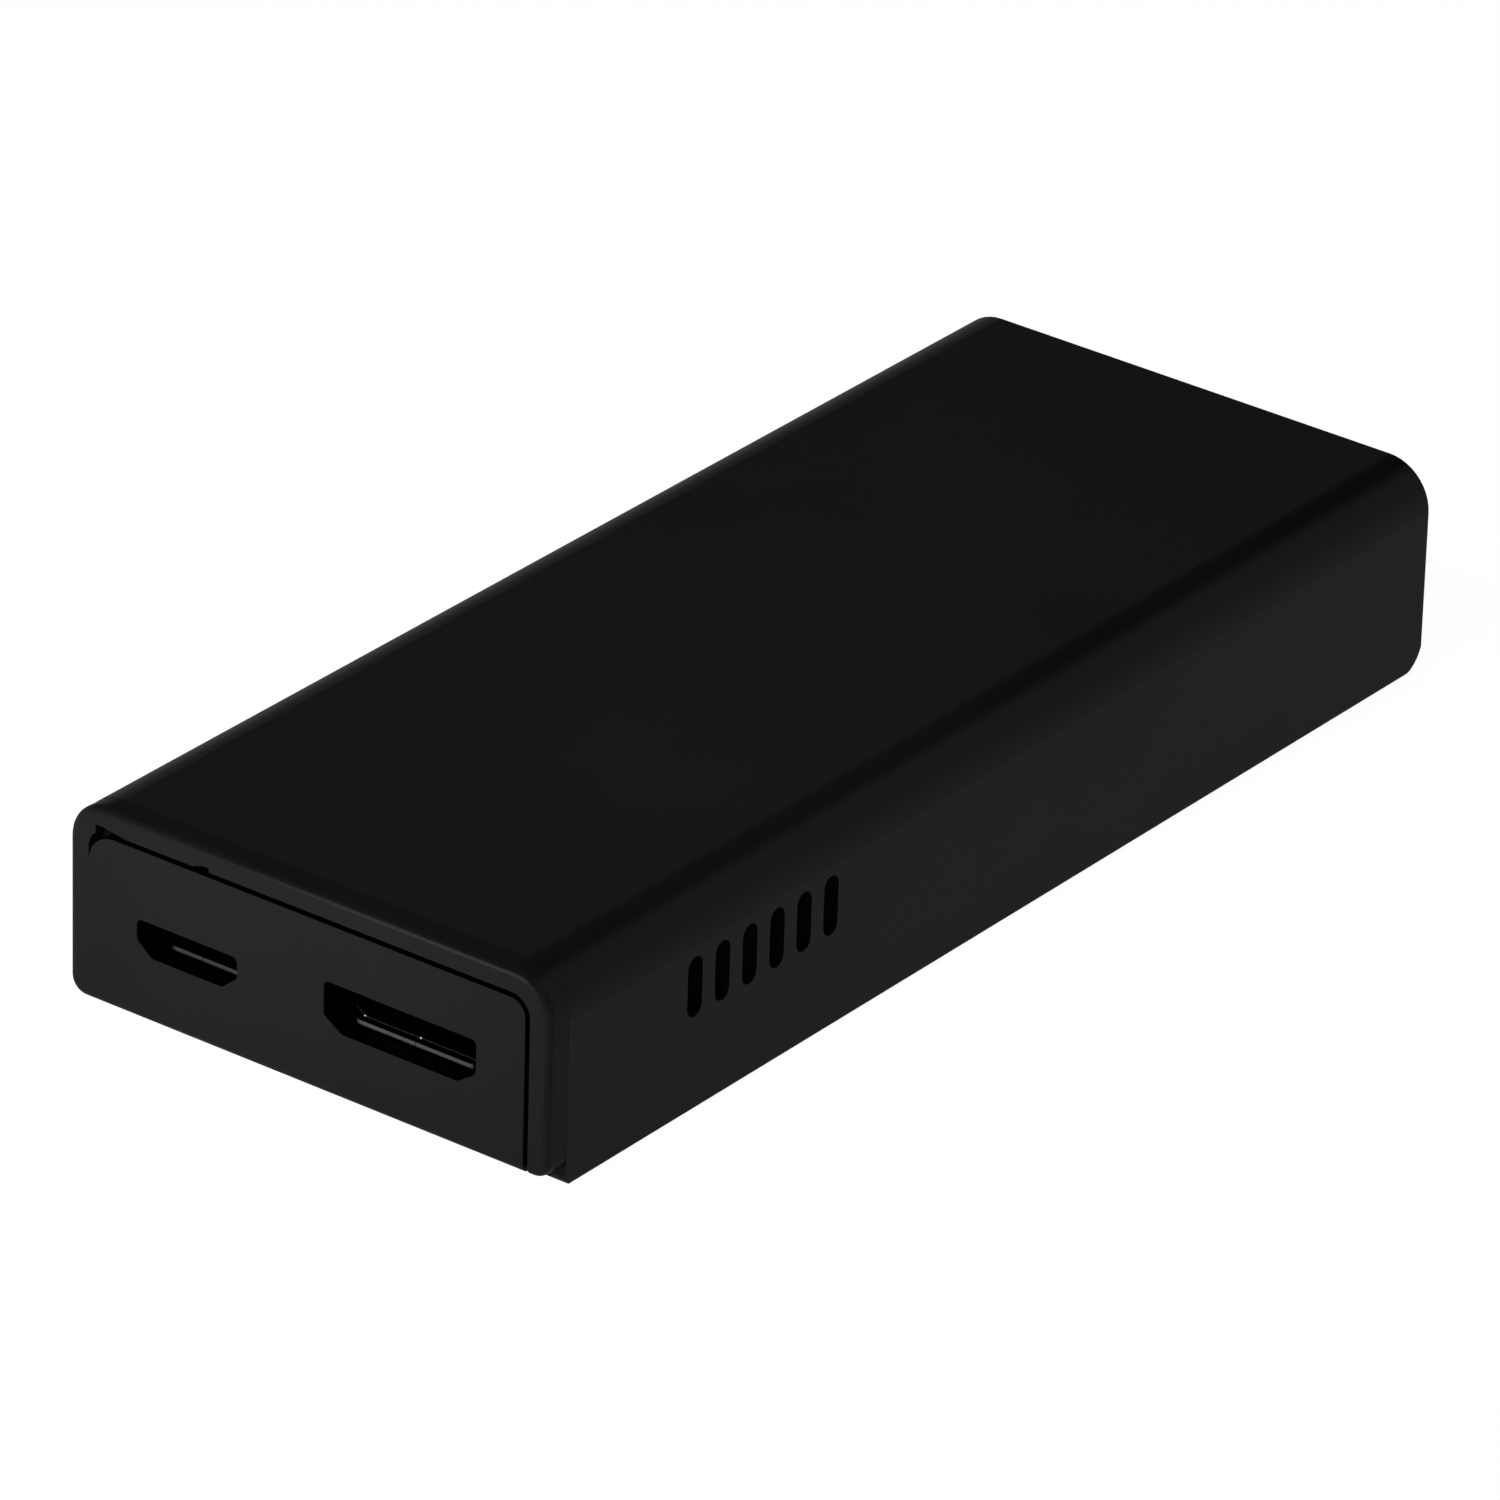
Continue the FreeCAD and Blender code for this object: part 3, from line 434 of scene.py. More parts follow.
screw_steel = worked_metal("screw_steel", (0.55, 0.55, 0.57), (0.25, 0.42), fine=3000)
tinned_sheet = worked_metal("tinned_sheet", (0.62, 0.62, 0.61), (0.28, 0.5), lines=(1, 0.05, 1))
extruded_aluminium = worked_metal("extruded_aluminium", (0.66, 0.67, 0.69), (0.35, 0.5),
                                  lines=(1, 0.01, 1), depth=0.01 * MM)
gold_plate = worked_metal("gold_plate", (0.80, 0.58, 0.24), (0.2, 0.34), lines=(1, 0.1, 1))
solder_tin = worked_metal("solder_tin", (0.60, 0.60, 0.60), (0.18, 0.4), fine=2500)
can_sheet = worked_metal("can_sheet", (0.66, 0.66, 0.65), (0.22, 0.42), lines=(0.05, 1, 1))
dress(tinned_sheet, "wireless_antenna", "recovery_switch_cover", "recovery_switch_dome")
dress(extruded_aluminium, "heat_sink")
dress(gold_plate, "power_socket_contacts", "video_socket_contacts")
dress(can_sheet, "wireless_can")

# %% [markdown]
# ## Dark moulded parts
# The tongues of the sockets are a glass-filled plastic, streaked where it flowed into the mould.
# Chips are pressed from a black epoxy full of fine glass, so their tops have a dense grain. The
# shielded coils are pressed iron powder: grey, speckled and dull. Each is a base colour with its
# own grain, so one helper takes the two colours and the size of the grain. It serves the pale
# pad and the white button as well.

# %% Grained materials
DULL = (0.5, 0.7)


def grained(name, dark, light, grain, depth, rough=DULL, specular=0.3, stretch=(1, 1, 1)):
    """A moulded material. grain is in waves for each metre, depth is the grain's height."""
    material, tree, shader = new_material(name, light, specular=specular)
    speckle = noise(tree, grain, 4, stretch)
    two_colours(tree, shader, speckle, dark, light, low=0.3, high=0.7)
    rough_between(tree, shader, noise(tree, grain / 3, 2), *rough)
    bump(tree, shader, speckle, depth)
    return material


glass_filled = grained("glass_filled_plastic", (0.010, 0.010, 0.011), (0.020, 0.020, 0.021),
                       grain=2500, depth=0.008 * MM, specular=0.1, stretch=(1, 0.25, 1))
chip_epoxy = grained("chip_epoxy", (0.028, 0.028, 0.030), (0.050, 0.050, 0.053),
                     grain=7000, depth=0.01 * MM)
pressed_powder = grained("pressed_powder", (0.09, 0.09, 0.095), (0.19, 0.19, 0.20),
                         grain=4500, depth=0.02 * MM, rough=(0.6, 0.85))
soft_pad = grained("soft_pad", (0.36, 0.41, 0.46), (0.46, 0.51, 0.56),
                   grain=1800, depth=0.03 * MM, rough=(0.75, 0.95))
nylon_white = grained("nylon_white", (0.70, 0.70, 0.67), (0.80, 0.80, 0.77),
                      grain=2200, depth=0.006 * MM, rough=(0.35, 0.5), specular=0.4)
dress(glass_filled, "power_socket_insulator", "video_socket_insulator", "recovery_switch_body")
dress(chip_epoxy, "memory_chip_left", "memory_chip_right", "storage_chip", "power_chip")
dress(pressed_powder, "power_coil_1", "power_coil_2", "power_coil_3")
dress(soft_pad, "thermal_pad")
dress(nylon_white, "recovery_button")

# %% [markdown]
# ## The boards
# The boards are laminate: green varnish above and below, and the bare straw colour of glass and
# resin at the cut edges. Under the varnish lies woven glass cloth, and its threads show as a very
# low relief: two noises, one stretched along each axis, are added up and used as a bump.

# %% Boards with a varnished face and bare edges
VARNISH_DARK = (0.010, 0.080, 0.036)
VARNISH_LIGHT = (0.016, 0.110, 0.050)
VARNISH_CLOUDS = 500
VARNISH_THICKNESS = 0.06 * MM
BARE_EDGE = (0.36, 0.32, 0.17)
CLOTH_THREADS = 2600
CLOTH_RELIEF = 0.012 * MM


def laminate(name, node):
    """Green above and below, straw-coloured between."""
    low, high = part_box(node)
    material, tree, shader = new_material(name, VARNISH_LIGHT, specular=0.4)
    two_colours(tree, shader, noise(tree, VARNISH_CLOUDS, 3), VARNISH_DARK, VARNISH_LIGHT)
    edge = band(tree, "Z", low.z + VARNISH_THICKNESS, high.z - VARNISH_THICKNESS)
    mix_in(tree, shader, edge, BARE_EDGE)
    value_by(tree, shader, "Roughness", edge, 0.34, 0.8)
    cloth = add(tree, "ShaderNodeMath", operation="ADD")
    wire(tree, noise(tree, CLOTH_THREADS, 1, (1, 0.08, 1)), "Fac", cloth, 0)
    wire(tree, noise(tree, CLOTH_THREADS, 1, (0.08, 1, 1)), "Fac", cloth, 1)
    bump(tree, shader, cloth, CLOTH_RELIEF, output="Value")
    return material


dress(laminate("main_board_laminate", "main_board"), "main_board")
dress(laminate("wireless_board_laminate", "wireless_board"), "wireless_board")

# %% [markdown]
# ## Parts with a lid
# The processor is a black lid on a dark green carrier. The crystal is a metal lid on a ceramic
# base. The capacitor is a bright can whose top carries a dark half-moon on its negative side. In
# each the border lies at a height that is known from the piece's own box, so one band from that
# height upward makes the second finish.

# %% Processor and crystal
LOW_SHADE = 0.75
LOW_CLOUDS = 3500
LID_GRAIN = 6000
LID_GRAIN_HEIGHT = 0.008 * MM


def two_finishes(name, low_colour, high_colour, border, metallic_above, rough=(0.6, 0.4)):
    """One finish below a height and another above it. rough holds both their roughnesses."""
    material, tree, shader = new_material(name, low_colour, specular=0.3)
    above = band(tree, "Z", border, border + FAR)
    darker = tuple(c * LOW_SHADE for c in low_colour)
    two_colours(tree, shader, noise(tree, LOW_CLOUDS, 3), darker, low_colour)
    mix_in(tree, shader, above, high_colour)
    if metallic_above:
        value_by(tree, shader, "Metallic", above, 0.0, metallic_above)
    value_by(tree, shader, "Roughness", above, *rough)
    bump(tree, shader, noise(tree, LID_GRAIN, 3), LID_GRAIN_HEIGHT)
    return material, tree, shader


CARRIER_THICKNESS = 0.5 * MM
carrier_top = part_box("processor")[0].z + CARRIER_THICKNESS
processor_finish, _, _ = two_finishes("processor_carrier_and_lid", (0.012, 0.05, 0.03),
                                      (0.035, 0.035, 0.038), carrier_top, 0.0)
dress(processor_finish, "processor")

LID_LIFT = 0.02 * MM
crystal_low, crystal_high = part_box("clock_crystal")
crystal_border = (crystal_low.z + crystal_high.z) / 2 + LID_LIFT
crystal_finish, _, _ = two_finishes("crystal_lid_on_ceramic", (0.42, 0.34, 0.24),
                                    (0.66, 0.64, 0.58), crystal_border, 1.0, (0.7, 0.3))
dress(crystal_finish, "clock_crystal")

# %% Capacitor
CAN_BASE = 0.82 * MM
HALF_MOON_START = 1.2 * MM
HALF_MOON_BLUE = (0.02, 0.02, 0.06)
TOP_SKIN = 0.05 * MM
can_low, can_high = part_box("bulk_capacitor")
capacitor_finish, tree, shader = two_finishes("capacitor_can_on_base", (0.03, 0.03, 0.032),
                                              (0.74, 0.74, 0.76), can_low.z + CAN_BASE,
                                              1.0, (0.6, 0.28))
can_middle = (can_low.x + can_high.x) / 2
half_moon = both(tree, band(tree, "Z", can_high.z - TOP_SKIN, can_high.z + OUTSIDE),
                 band(tree, "X", can_low.x - OUTSIDE, can_middle - HALF_MOON_START))
mix_in(tree, shader, half_moon, HALF_MOON_BLUE)
dress(capacitor_finish, "bulk_capacitor")

# %% [markdown]
# ## Geometry Nodes for the small repeated pieces
# A modifier tree copies one small shape to many places, and its named inputs are the sizes that a
# maker would ask for. The steps are the same each time: a guide mesh holds the places as bare
# points or lines, the tree grows the shape there, makes the copies real and gives them their
# material, and the result is read back as a plain mesh. The guide is then thrown away.

# %% Helpers that build a tree
def new_tree(name, **sizes):
    """Starts a tree with a named input for each size, and one for the material."""
    tree = bpy.data.node_groups.new(name, "GeometryNodeTree")
    tree.interface.new_socket("Geometry", in_out="OUTPUT", socket_type="NodeSocketGeometry")
    tree.interface.new_socket("Geometry", in_out="INPUT", socket_type="NodeSocketGeometry")
    for size, value in sizes.items():
        kind = "NodeSocketInt" if isinstance(value, int) else "NodeSocketFloat"
        socket = tree.interface.new_socket(size, in_out="INPUT", socket_type=kind)
        socket.default_value = value
    tree.interface.new_socket("Material", in_out="INPUT", socket_type="NodeSocketMaterial")
    return tree, add(tree, "NodeGroupInput"), add(tree, "NodeGroupOutput")


def put_on_points(tree, start, shape, output):
    """Puts a copy of a shape on every point of the guide."""
    copies = add(tree, "GeometryNodeInstanceOnPoints")
    wire(tree, start, "Geometry", copies, "Points")
    wire(tree, shape, output, copies, "Instance")
    return copies


def size_of_inputs(tree, start):
    """One vector from the inputs Width, Length and Height."""
    size = add(tree, "ShaderNodeCombineXYZ")
    for name, axis in (("Width", "X"), ("Length", "Y"), ("Height", "Z")):
        wire(tree, start, name, size, axis)
    return size


def close_tree(tree, start, end, last, output):
    """Ends a tree: real copies in place of instances, and then the material."""
    real = add(tree, "GeometryNodeRealizeInstances")
    paint = add(tree, "GeometryNodeSetMaterial")
    wire(tree, last, output, real, "Geometry")
    wire(tree, real, "Geometry", paint, "Geometry")
    wire(tree, start, "Material", paint, "Material")
    wire(tree, paint, "Geometry", end, "Geometry")

# %% A helper that runs a tree
def grow(name, tree, material, points, edges=(), **sizes):
    """Runs a tree on a guide and gives back a plain mesh piece that rides on the stick."""
    guide_mesh = bpy.data.meshes.new(name + "_guide")
    guide_mesh.from_pydata(points, edges, [])
    guide = bpy.data.objects.new(name + "_guide", guide_mesh)
    bpy.context.scene.collection.objects.link(guide)
    modifier = guide.modifiers.new("tree", "NODES")
    modifier.node_group = tree
    sizes["Material"] = material
    for item in tree.interface.items_tree:
        if item.in_out == "INPUT" and item.name in sizes:
            modifier[item.identifier] = sizes[item.name]
    graph = bpy.context.evaluated_depsgraph_get()
    mesh = bpy.data.meshes.new_from_object(guide.evaluated_get(graph))
    piece = bpy.data.objects.new(name, mesh)
    bpy.context.scene.collection.objects.link(piece)
    bpy.data.objects.remove(guide)
    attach(piece, "stick")
    print(name, "has", len(mesh.polygons), "faces")
    return piece

# %% [markdown]
# ## Where the small parts are
# Some pieces of the frame hold several solids, such as the four screws or the contacts of a
# socket. Their places are read from the mesh: corners that share a face belong to one solid, and
# each solid is handed back as its box.

# %% A helper that finds the separate solids of a piece
def loose_parts(node):
    """The lowest and highest corner of each separate solid in a node of the frame."""
    mesh = nodes[node].data
    spots = [tuple(round(c, 7) for c in v.co) for v in mesh.vertices]
    family = {spot: spot for spot in spots}

    def head(spot):
        while family[spot] != spot:
            family[spot] = family[family[spot]]
            spot = family[spot]
        return spot

    for face in mesh.polygons:
        first = head(spots[face.vertices[0]])
        for i in face.vertices[1:]:
            family[head(spots[i])] = first
    parts = {}
    for spot in family:
        parts.setdefault(head(spot), []).append(spot)
    boxes = [(Vector(map(min, *p)), Vector(map(max, *p))) for p in parts.values()]
    return sorted(boxes, key=lambda b: tuple(b[0] + b[1]))

# %% [markdown]
# ## Screw threads
# A self-tapping screw cuts its own thread into the tray's boss. The thread is a ridge that winds
# round the shank, so it is swept: a spiral gives the path, a triangle gives the section, and one
# point for each screw gives the places. The ridge bites into the plastic as a real one does.

# %% A tree that winds a ridge round each screw
thread_tree, start, end = new_tree("screw_thread", Radius=0.65 * MM, Pitch=0.5 * MM,
                                   Length=3.0 * MM, Ridge=0.11 * MM)
turns = add(thread_tree, "ShaderNodeMath", operation="DIVIDE")
wire(thread_tree, start, "Length", turns, 0)
wire(thread_tree, start, "Pitch", turns, 1)
spiral = add(thread_tree, "GeometryNodeCurveSpiral", Resolution=20)
wire(thread_tree, turns, "Value", spiral, "Rotations")
wire(thread_tree, start, "Radius", spiral, "Start Radius")
wire(thread_tree, start, "Radius", spiral, "End Radius")
wire(thread_tree, start, "Length", spiral, "Height")
section = add(thread_tree, "GeometryNodeCurvePrimitiveCircle", Resolution=3)
wire(thread_tree, start, "Ridge", section, "Radius")
sweep = add(thread_tree, "GeometryNodeCurveToMesh", Fill_Caps=True)
wire(thread_tree, spiral, "Curve", sweep, "Curve")
wire(thread_tree, section, "Curve", sweep, "Profile Curve")
close_tree(thread_tree, start, end, put_on_points(thread_tree, start, sweep, "Mesh"), "Instances")

# %% Threads on the four board screws
THREAD_LENGTH = 3.2 * MM
TIP_ROUNDING = 0.15 * MM
screws = loose_parts("board_screws")
tips = [((a.x + b.x) / 2, (a.y + b.y) / 2, a.z + TIP_ROUNDING) for a, b in screws]
threads = grow("screw_threads", thread_tree, screw_steel, tips, Length=THREAD_LENGTH)
dress(screw_steel, "board_screws")

# %% [markdown]
# ## Small blocks
# Ceramic capacitors come in their dozens: a tan block between two tinned ends. One tree puts a
# block of a given size on every point, and it runs twice, for the ceramic and for the ends, which
# stand a hair proud of it. Together they stand for the plain blocks of the frame.

# %% Ceramic capacitors with tinned ends
block_tree, start, end = new_tree("blocks", Width=0.5 * MM, Length=1.0 * MM, Height=0.5 * MM)
cube = add(block_tree, "GeometryNodeMeshCube")
wire(block_tree, size_of_inputs(block_tree, start), "Vector", cube, "Size")
close_tree(block_tree, start, end, put_on_points(block_tree, start, cube, "Mesh"), "Instances")

sintered = grained("sintered_ceramic", (0.36, 0.27, 0.17), (0.48, 0.37, 0.25),
                   grain=5000, depth=0.008 * MM)
CAP_END = 0.24 * MM
HAIR = 0.02 * MM
blocks = loose_parts("ceramic_capacitors")
middles = [tuple((a + b) / 2) for a, b in blocks]
cap_size = blocks[0][1] - blocks[0][0]
to_end = (cap_size.y - CAP_END) / 2
ends = [(x, y + side * to_end, z) for x, y, z in middles for side in (-1, 1)]
cap_bodies = grow("ceramic_cap_bodies", block_tree, sintered, middles,
                  Width=cap_size.x - 2 * HAIR, Length=cap_size.y - CAP_END,
                  Height=cap_size.z - 2 * HAIR)
cap_ends = grow("ceramic_cap_ends", block_tree, solder_tin, ends,
                Width=cap_size.x, Length=CAP_END, Height=cap_size.z)
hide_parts("ceramic_capacitors")

# %% [markdown]
# ## Solder
# Every foot and leg is held by solder, which wets the metal and draws into a low mound that is
# never twice the same. A sphere is flattened to the mound's three sizes and put on every point,
# and once the copies are real a noise moves their skin, so each mound differs.

# %% A tree that lays uneven mounds
solder_tree, start, end = new_tree("solder_mounds", Width=0.4 * MM, Length=1.0 * MM,
                                   Height=0.12 * MM, Unevenness=0.03 * MM, Seed=5)
ball = add(solder_tree, "GeometryNodeMeshUVSphere", Segments=12, Rings=8, Radius=0.5)
flat = add(solder_tree, "GeometryNodeTransform")
wire(solder_tree, ball, "Mesh", flat, "Geometry")
wire(solder_tree, size_of_inputs(solder_tree, start), "Vector", flat, "Scale")
real = add(solder_tree, "GeometryNodeRealizeInstances")
wire(solder_tree, put_on_points(solder_tree, start, flat, "Geometry"), "Instances",
     real, "Geometry")
uneven = add(solder_tree, "ShaderNodeTexNoise", noise_dimensions="4D", Scale=900.0, Detail=1.0)
wire(solder_tree, start, "Seed", uneven, "W")
centred = add(solder_tree, "ShaderNodeVectorMath", operation="SUBTRACT")
centred.inputs[1].default_value = (0.5, 0.5, 0.5)
wire(solder_tree, uneven, "Color", centred, 0)
shift = add(solder_tree, "ShaderNodeVectorMath", operation="SCALE")
wire(solder_tree, centred, "Vector", shift, 0)
wire(solder_tree, start, "Unevenness", shift, "Scale")
moved = add(solder_tree, "GeometryNodeSetPosition")
wire(solder_tree, real, "Geometry", moved, "Geometry")
wire(solder_tree, shift, "Vector", moved, "Offset")
close_tree(solder_tree, start, end, moved, "Geometry")

# %% Solder at the contacts' feet and at the shells' legs
FOOT_MIDDLE = 0.35 * MM
board_low, board_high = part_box("main_board")
feet = []
for node in ("power_socket_contacts", "video_socket_contacts"):
    for a, b in loose_parts(node):
        feet.append(((a.x + b.x) / 2, b.y - FOOT_MIDDLE, board_high.z))
foot_solder = grow("foot_solder", solder_tree, solder_tin, feet,
                   Length=0.95 * MM, Height=0.34 * MM)

LEG_FRONT = 2.6 * MM
LEG_REAR = 0.9 * MM
legs = []
for node in ("power_socket_shell", "video_socket_shell"):
    a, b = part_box(node)
    for x in (a.x + SHEET / 2, b.x - SHEET / 2):
        for y in (a.y + LEG_FRONT, b.y - LEG_REAR):
            legs.append((x, y, board_low.z))
leg_solder = grow("leg_solder", solder_tree, solder_tin, legs,
                  Width=1.5 * MM, Length=2.1 * MM, Height=1.1 * MM, Unevenness=0.08 * MM)

# %% [markdown]
# ## Printed lines on the board
# Copper tracks run from the sockets to the processor and on to the memory. They keep to straight
# runs and turns of 45 degrees, and tracks that start side by side stay side by side. The guide
# holds them as chains of edges, and the tree sweeps a thin flat section along them. The same tree
# prints the white outlines that show where each part belongs.

# %% A tree that lays a flat strip along each line
strip_tree, start, end = new_tree("flat_strips", Width=0.16 * MM, Height=0.03 * MM)
lines = add(strip_tree, "GeometryNodeMeshToCurve")
wire(strip_tree, start, "Geometry", lines, "Mesh")
level = add(strip_tree, "GeometryNodeSetCurveNormal", mode="Z_UP")
wire(strip_tree, lines, "Curve", level, "Curve")
section = add(strip_tree, "GeometryNodeCurvePrimitiveQuadrilateral")
wire(strip_tree, start, "Width", section, "Width")
wire(strip_tree, start, "Height", section, "Height")
sweep = add(strip_tree, "GeometryNodeCurveToMesh", Fill_Caps=True)
wire(strip_tree, level, "Curve", sweep, "Curve")
wire(strip_tree, section, "Curve", sweep, "Profile Curve")
close_tree(strip_tree, start, end, sweep, "Mesh")


def chains(paths):
    """Joins several lines of points into the points and edges of one guide."""
    points, edges = [], []
    for path in paths:
        edges += [(len(points) + i, len(points) + i + 1) for i in range(len(path) - 1)]
        points += path
    return points, edges

# %% The path of one track
TRACK_Z = board_high.z + 0.012 * MM


def track(x0, y0, x1, y1, bend):
    """Straight, a turn of 45 degrees, and straight again."""
    turned = y0 + bend + abs(x1 - x0)
    return [(x, y, TRACK_Z) for x, y in ((x0, y0), (x0, y0 + bend), (x1, turned), (x1, y1))]


def evenly(first, last, count):
    """Evenly spaced values, from the first to the last."""
    return [first + (last - first) * i / (count - 1) for i in range(count)]

# %% Tracks between the sockets, the processor and the memory
FIRST_BEND = 1.2 * MM
MEMORY_TRACKS = 12
MEMORY_MARGIN = 1 * MM
cpu_low, cpu_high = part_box("processor")
tracks = []
for node, left, right in (("power_socket_contacts", -6.2, -3.8),
                          ("video_socket_contacts", -2.6, 6.2)):
    starts = sorted(((a.x + b.x) / 2, b.y) for a, b in loose_parts(node))
    for (x, y), target in zip(starts, evenly(left * MM, right * MM, len(starts))):
        tracks.append(track(x, y, target, cpu_low.y, FIRST_BEND))
for node, left, right in (("memory_chip_left", -6.4, -0.8), ("memory_chip_right", 0.8, 6.4)):
    a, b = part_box(node)
    reach = a.y - cpu_high.y
    targets = evenly(a.x + MEMORY_MARGIN, b.x - MEMORY_MARGIN, MEMORY_TRACKS)
    for x, target in zip(evenly(left * MM, right * MM, MEMORY_TRACKS), targets):
        slope = abs(target - x)
        if slope < reach:
            tracks.append(track(x, cpu_high.y, target, a.y, (reach - slope) / 2))
copper_under_varnish = grained("copper_under_varnish", (0.020, 0.15, 0.065),
                               (0.030, 0.19, 0.085), grain=3000, depth=0.006 * MM,
                               rough=(0.3, 0.45))
board_tracks = grow("board_tracks", strip_tree, copper_under_varnish, *chains(tracks))

# %% Outlines printed round the parts
PRINT_GAP = 0.225 * MM
PRINT_WIDTH = 0.13 * MM
PRINT_Z = TRACK_Z + 0.01 * MM
MARKED_CHIPS = ("memory_chip_left", "memory_chip_right", "storage_chip", "power_chip")
OUTLINED = MARKED_CHIPS + ("power_coil_1", "power_coil_2", "power_coil_3", "bulk_capacitor",
                           "clock_crystal", "wireless_board", "processor")
outlines = []
for node in OUTLINED:
    a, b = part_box(node)
    x0, x1 = a.x - PRINT_GAP, b.x + PRINT_GAP
    y0, y1 = a.y - PRINT_GAP, b.y + PRINT_GAP
    corners = ((x0, y0), (x1, y0), (x1, y1), (x0, y1), (x0, y0))
    outlines.append([(x, y, PRINT_Z) for x, y in corners])
printing_white = grained("printing_white", (0.62, 0.62, 0.60), (0.72, 0.72, 0.70),
                         grain=3000, depth=0.004 * MM, rough=(0.6, 0.8))
printed_outlines = grow("printed_outlines", strip_tree, printing_white, *chains(outlines),
                        Width=PRINT_WIDTH)

# %% [markdown]
# ## The fold inside the video socket
# Just inside the mouth the sheet is folded over, and a thin line of light runs along that fold: up
# the slanted corner on the left, along the floor, and up again on the right. Two spots of solder
# hold it, one in the left corner and one on the seam in the middle, and each catches a glint. The
# strip tree lays the line and the solder tree the spots.

# %% Fold line
FOLD_DEPTH = 0.6 * MM
FOLD_LIFT = 0.03 * MM
FOLD_RISE = 0.5 * MM
FOLD_INSET = 0.1 * MM
CORNER_WIDTH = 1.3 * MM
CORNER_HEIGHT = 0.85 * MM
a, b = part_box("video_socket_shell")
fold_y = a.y + FOLD_DEPTH
floor_z = b.z - SOCKET_HEIGHTS["video_socket_shell"] + SHEET + FOLD_LIFT
left_corner = a.x + CORNER_WIDTH + FOLD_INSET
right_corner = b.x - CORNER_WIDTH - FOLD_INSET
run = CORNER_WIDTH * FOLD_RISE / CORNER_HEIGHT - FOLD_INSET
fold = [(left_corner - run, fold_y, floor_z + FOLD_RISE), (left_corner, fold_y, floor_z),
        (right_corner, fold_y, floor_z), (right_corner + run, fold_y, floor_z + FOLD_RISE)]
dull_plate = grained("dull_plate", (0.004, 0.004, 0.004), (0.05, 0.05, 0.05),
                     grain=4000, depth=0.006 * MM, specular=0.1)
socket_fold = grow("socket_fold", strip_tree, dull_plate, *chains([fold]),
                   Width=0.16 * MM, Height=0.05 * MM)

# %% The two spots of solder on it
SPOT = 0.26 * MM
SPOT_SHIFT = 0.05 * MM
spots = [(left_corner - SPOT_SHIFT, fold_y, floor_z), ((a.x + b.x) / 2, fold_y, floor_z)]
socket_spots = grow("socket_spots", solder_tree, solder_tin, spots,
                    Width=SPOT, Length=SPOT, Height=SPOT, Unevenness=0.01 * MM)

# %% [markdown]
# ## Plated holes and first-pin marks
# Where tracks change sides of the board there is a plated hole, filled and tinned. They are
# scattered over the free board, here by a seeded draw that keeps clear of the parts on top. The
# screws and the ceramic capacitors count one by one, because the box round all of them would take
# up the whole board. The small pale dot on a chip marks its first pin. Both the holes and the dots
# are low discs, so one tree makes them.

# %% A tree that puts a disc on each point
disc_tree, start, end = new_tree("discs", Radius=0.22 * MM, Height=0.03 * MM)
disc = add(disc_tree, "GeometryNodeMeshCylinder", Vertices=14)
wire(disc_tree, start, "Radius", disc, "Radius")
wire(disc_tree, start, "Height", disc, "Depth")
close_tree(disc_tree, start, end, put_on_points(disc_tree, start, disc, "Mesh"), "Instances")

# %% Plated holes
VIA_SEED = 11
VIA_COUNT = 90
VIA_LIFT = 0.008 * MM
VIA_GAP = 0.7 * MM
BOARD_MARGIN = 1 * MM
NOT_IN_THE_WAY = {"upper_shell", "front_bezel", "base_tray", "main_board", "heat_sink",
                  "thermal_pad", "ceramic_capacitors", "board_screws", "recovery_button",
                  "recovery_switch_body", "recovery_switch_cover", "recovery_switch_dome"}
taken = [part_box(n) for n in nodes if n not in NOT_IN_THE_WAY] + screws + blocks
draw = random.Random(VIA_SEED)
vias = []
while len(vias) < VIA_COUNT:
    x = draw.uniform(board_low.x + BOARD_MARGIN, board_high.x - BOARD_MARGIN)
    y = draw.uniform(board_low.y + BOARD_MARGIN, board_high.y - BOARD_MARGIN)
    if all(not (a.x - VIA_GAP < x < b.x + VIA_GAP and a.y - VIA_GAP < y < b.y + VIA_GAP)
           for a, b in taken):
        vias.append((x, y, board_high.z + VIA_LIFT))
plated_holes = grow("plated_holes", disc_tree, solder_tin, vias)

# %% First-pin marks
MARK_INSET = 1.3 * MM
marks = []
for node in MARKED_CHIPS:
    a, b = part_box(node)
    marks.append((a.x + MARK_INSET, a.y + MARK_INSET, b.z))
first_pin_marks = grow("first_pin_marks", disc_tree, printing_white, marks,
                       Radius=0.3 * MM, Height=0.02 * MM)

# %% [markdown]
# ## The table
# The table is a pale plane. The camera sees it white, as the picture has it, and it still keeps
# a trace of the stick's soft shadow: to the camera it glows almost white by itself, and the lamps
# add the rest. A white table under studio lamps also throws light back up, so it glows faintly
# for the light's own bounces too, which lifts the sides and draws a thin light line along the
# lowest rounding.

# %% Table
TABLE_SIZE = 3.0
TABLE_GREY = (0.5, 0.5, 0.5)
TABLE_GLOW = 0.96
TABLE_BOUNCE = 0.12
TABLE_DROP = 0.02 * MM


def seen_directly(tree):
    """1 for rays from the camera, reflections and glass, and 0 for the light's own bounces."""
    path = add(tree, "ShaderNodeLightPath")
    first = add(tree, "ShaderNodeMath", operation="MAXIMUM")
    second = add(tree, "ShaderNodeMath", operation="MAXIMUM")
    wire(tree, path, "Is Camera Ray", first, 0)
    wire(tree, path, "Is Glossy Ray", first, 1)
    wire(tree, first, "Value", second, 0)
    wire(tree, path, "Is Transmission Ray", second, 1)
    return second


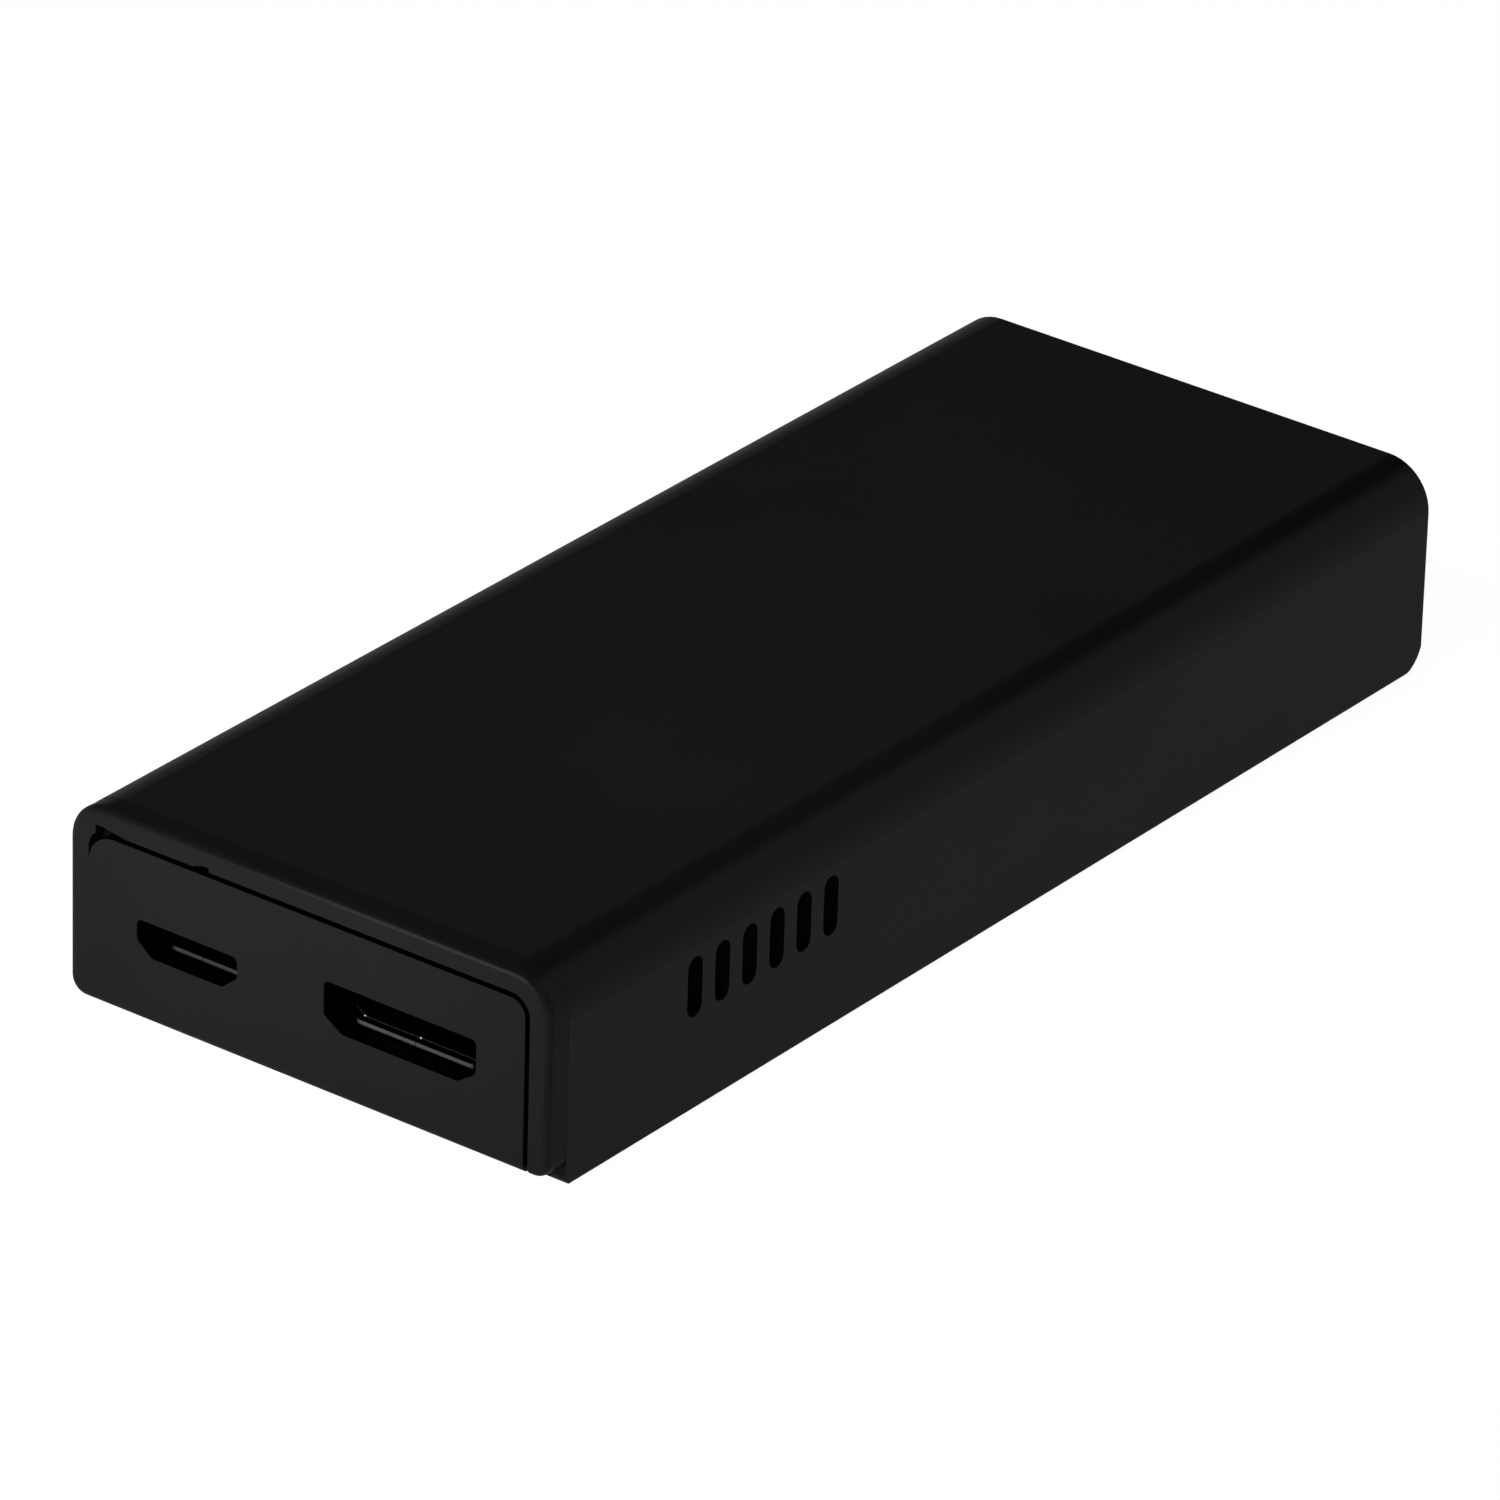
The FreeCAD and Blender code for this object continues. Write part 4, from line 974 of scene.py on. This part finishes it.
half = TABLE_SIZE / 2
table_mesh = bpy.data.meshes.new("table")
corners = ((-half, -half), (half, -half), (half, half), (-half, half))
table_mesh.from_pydata([(x, y, -TABLE_DROP) for x, y in corners], [], [(0, 1, 2, 3)])
table = bpy.data.objects.new("table", table_mesh)
bpy.context.scene.collection.objects.link(table)
table_paint, tree, shader = new_material("table_paint", TABLE_GREY, roughness=0.9, specular=0.0)
shader.inputs["Emission Color"].default_value = (1, 1, 1, 1)
glow = add(tree, "ShaderNodeMapRange", To_Min=TABLE_BOUNCE, To_Max=TABLE_GLOW)
wire(tree, seen_directly(tree), "Value", glow, "Value")
wire(tree, glow, "Result", shader, "Emission Strength")
table_mesh.materials.append(table_paint)
print("table of", TABLE_SIZE, "m, glowing", TABLE_GLOW, "when seen")

# %% [markdown]
# ## The room
# The room's walls are white low down and fade into a dark ceiling, with a pale screen on the
# right. The camera sees them all white, but the sheen of the plastic mirrors them as they are,
# and that decides its tone: the upright faces mirror the white table, the top mirrors the fading
# wall, and each rounded upper edge mirrors first the ceiling, as a dark line, and then the
# screen, as a light one. The light's own bounces get almost nothing from the room: there the
# lamps do the work, with the table's faint glow.

# %% Low white walls, a pale screen on the right and a dark ceiling
AMBIENT = 0.02
CEILING = 0.05
WALL_FADE = (math.radians(4), math.radians(32))
SCREEN = 0.8
SCREEN_FADE = (0.0, 0.28)

world = bpy.data.worlds.new("white_room")
bpy.context.scene.world = world
world.use_nodes = True
tree = world.node_tree
sky = tree.nodes["Background"]
sky.inputs["Color"].default_value = (1, 1, 1, 1)
direction = add(tree, "ShaderNodeTexCoord")
parts = add(tree, "ShaderNodeSeparateXYZ")
wire(tree, direction, "Generated", parts, "Vector")
wall = add(tree, "ShaderNodeMapRange", To_Min=1.0, To_Max=CEILING,
           From_Min=math.sin(WALL_FADE[0]), From_Max=math.sin(WALL_FADE[1]))
screen = add(tree, "ShaderNodeMapRange", To_Min=0.0, To_Max=SCREEN,
             From_Min=SCREEN_FADE[0], From_Max=SCREEN_FADE[1])
room = add(tree, "ShaderNodeMath", operation="MAXIMUM")
wire(tree, parts, "Z", wall, "Value")
wire(tree, parts, "X", screen, "Value")
wire(tree, wall, "Result", room, 0)
wire(tree, screen, "Result", room, 1)
path = add(tree, "ShaderNodeLightPath")
view = add(tree, "ShaderNodeMath", operation="MAXIMUM")
wire(tree, room, "Value", view, 0)
wire(tree, path, "Is Camera Ray", view, 1)
level = add(tree, "ShaderNodeMapRange", To_Min=AMBIENT)
wire(tree, seen_directly(tree), "Value", level, "Value")
wire(tree, view, "Value", level, "To Max")
wire(tree, level, "Result", sky, "Strength")
print("room from 1.0 at the table to", CEILING, "overhead, screen", SCREEN)

# %% [markdown]
# ## The lamps
# In the picture the socket end and the long side are lighter than the top, both are lightest near
# their upper edge, and the socket end has a soft pool of light in its middle. Small lamps that
# stand close and low do that, because light falls off quickly near its source: one in front of
# the sockets and a fainter one above. Three larger lamps farther off, at the right rear, on the
# left and behind, light the long side evenly and keep the other sides from going black in other
# views. The lamps are hidden from the camera, so that none stands in a picture, and only the front
# one shows in the sheen, where it draws a thin light line along the rim.

# %% Soft lamps
CASE_MIDDLE = (0, 0, 0.007)
SMALL_LAMP = (0.03, 0.03)
LARGE_LAMP = (0.4, 0.16)


def soft_lamp(name, place, target, size, watts, mirrored=False):
    """Adds a rectangular lamp that points at a target. Places and sizes are in metres."""
    data = bpy.data.lights.new(name, "AREA")
    data.shape = "RECTANGLE"
    data.size, data.size_y = size
    data.energy = watts
    lamp = bpy.data.objects.new(name, data)
    ray = Vector(target) - Vector(place)
    lamp.location = place
    lamp.rotation_mode = "QUATERNION"
    lamp.rotation_quaternion = ray.to_track_quat("-Z", "Y")
    lamp.visible_camera = False
    lamp.visible_glossy = mirrored
    bpy.context.scene.collection.objects.link(lamp)
    print(name, "is", round(ray.length, 3), "m away")


soft_lamp("front_lamp", place=(-0.012, -0.085, 0.018), target=(-0.008, -0.044, 0.009),
          size=SMALL_LAMP, watts=0.0123, mirrored=True)
soft_lamp("top_lamp", place=(0.010, -0.02, 0.075), target=(0.008, -0.01, 0.014),
          size=SMALL_LAMP, watts=0.0085)
for name, place, watts in (("right_rear_lamp", (0.50, 0.50, 0.09), 0.30),
                           ("left_fill", (-0.70, 0.1, 0.10), 0.5),
                           ("rear_fill", (0.1, 0.70, 0.10), 0.5)):
    soft_lamp(name, place, target=CASE_MIDDLE, size=LARGE_LAMP, watts=watts)
bpy.context.scene.view_settings.view_transform = "Standard"
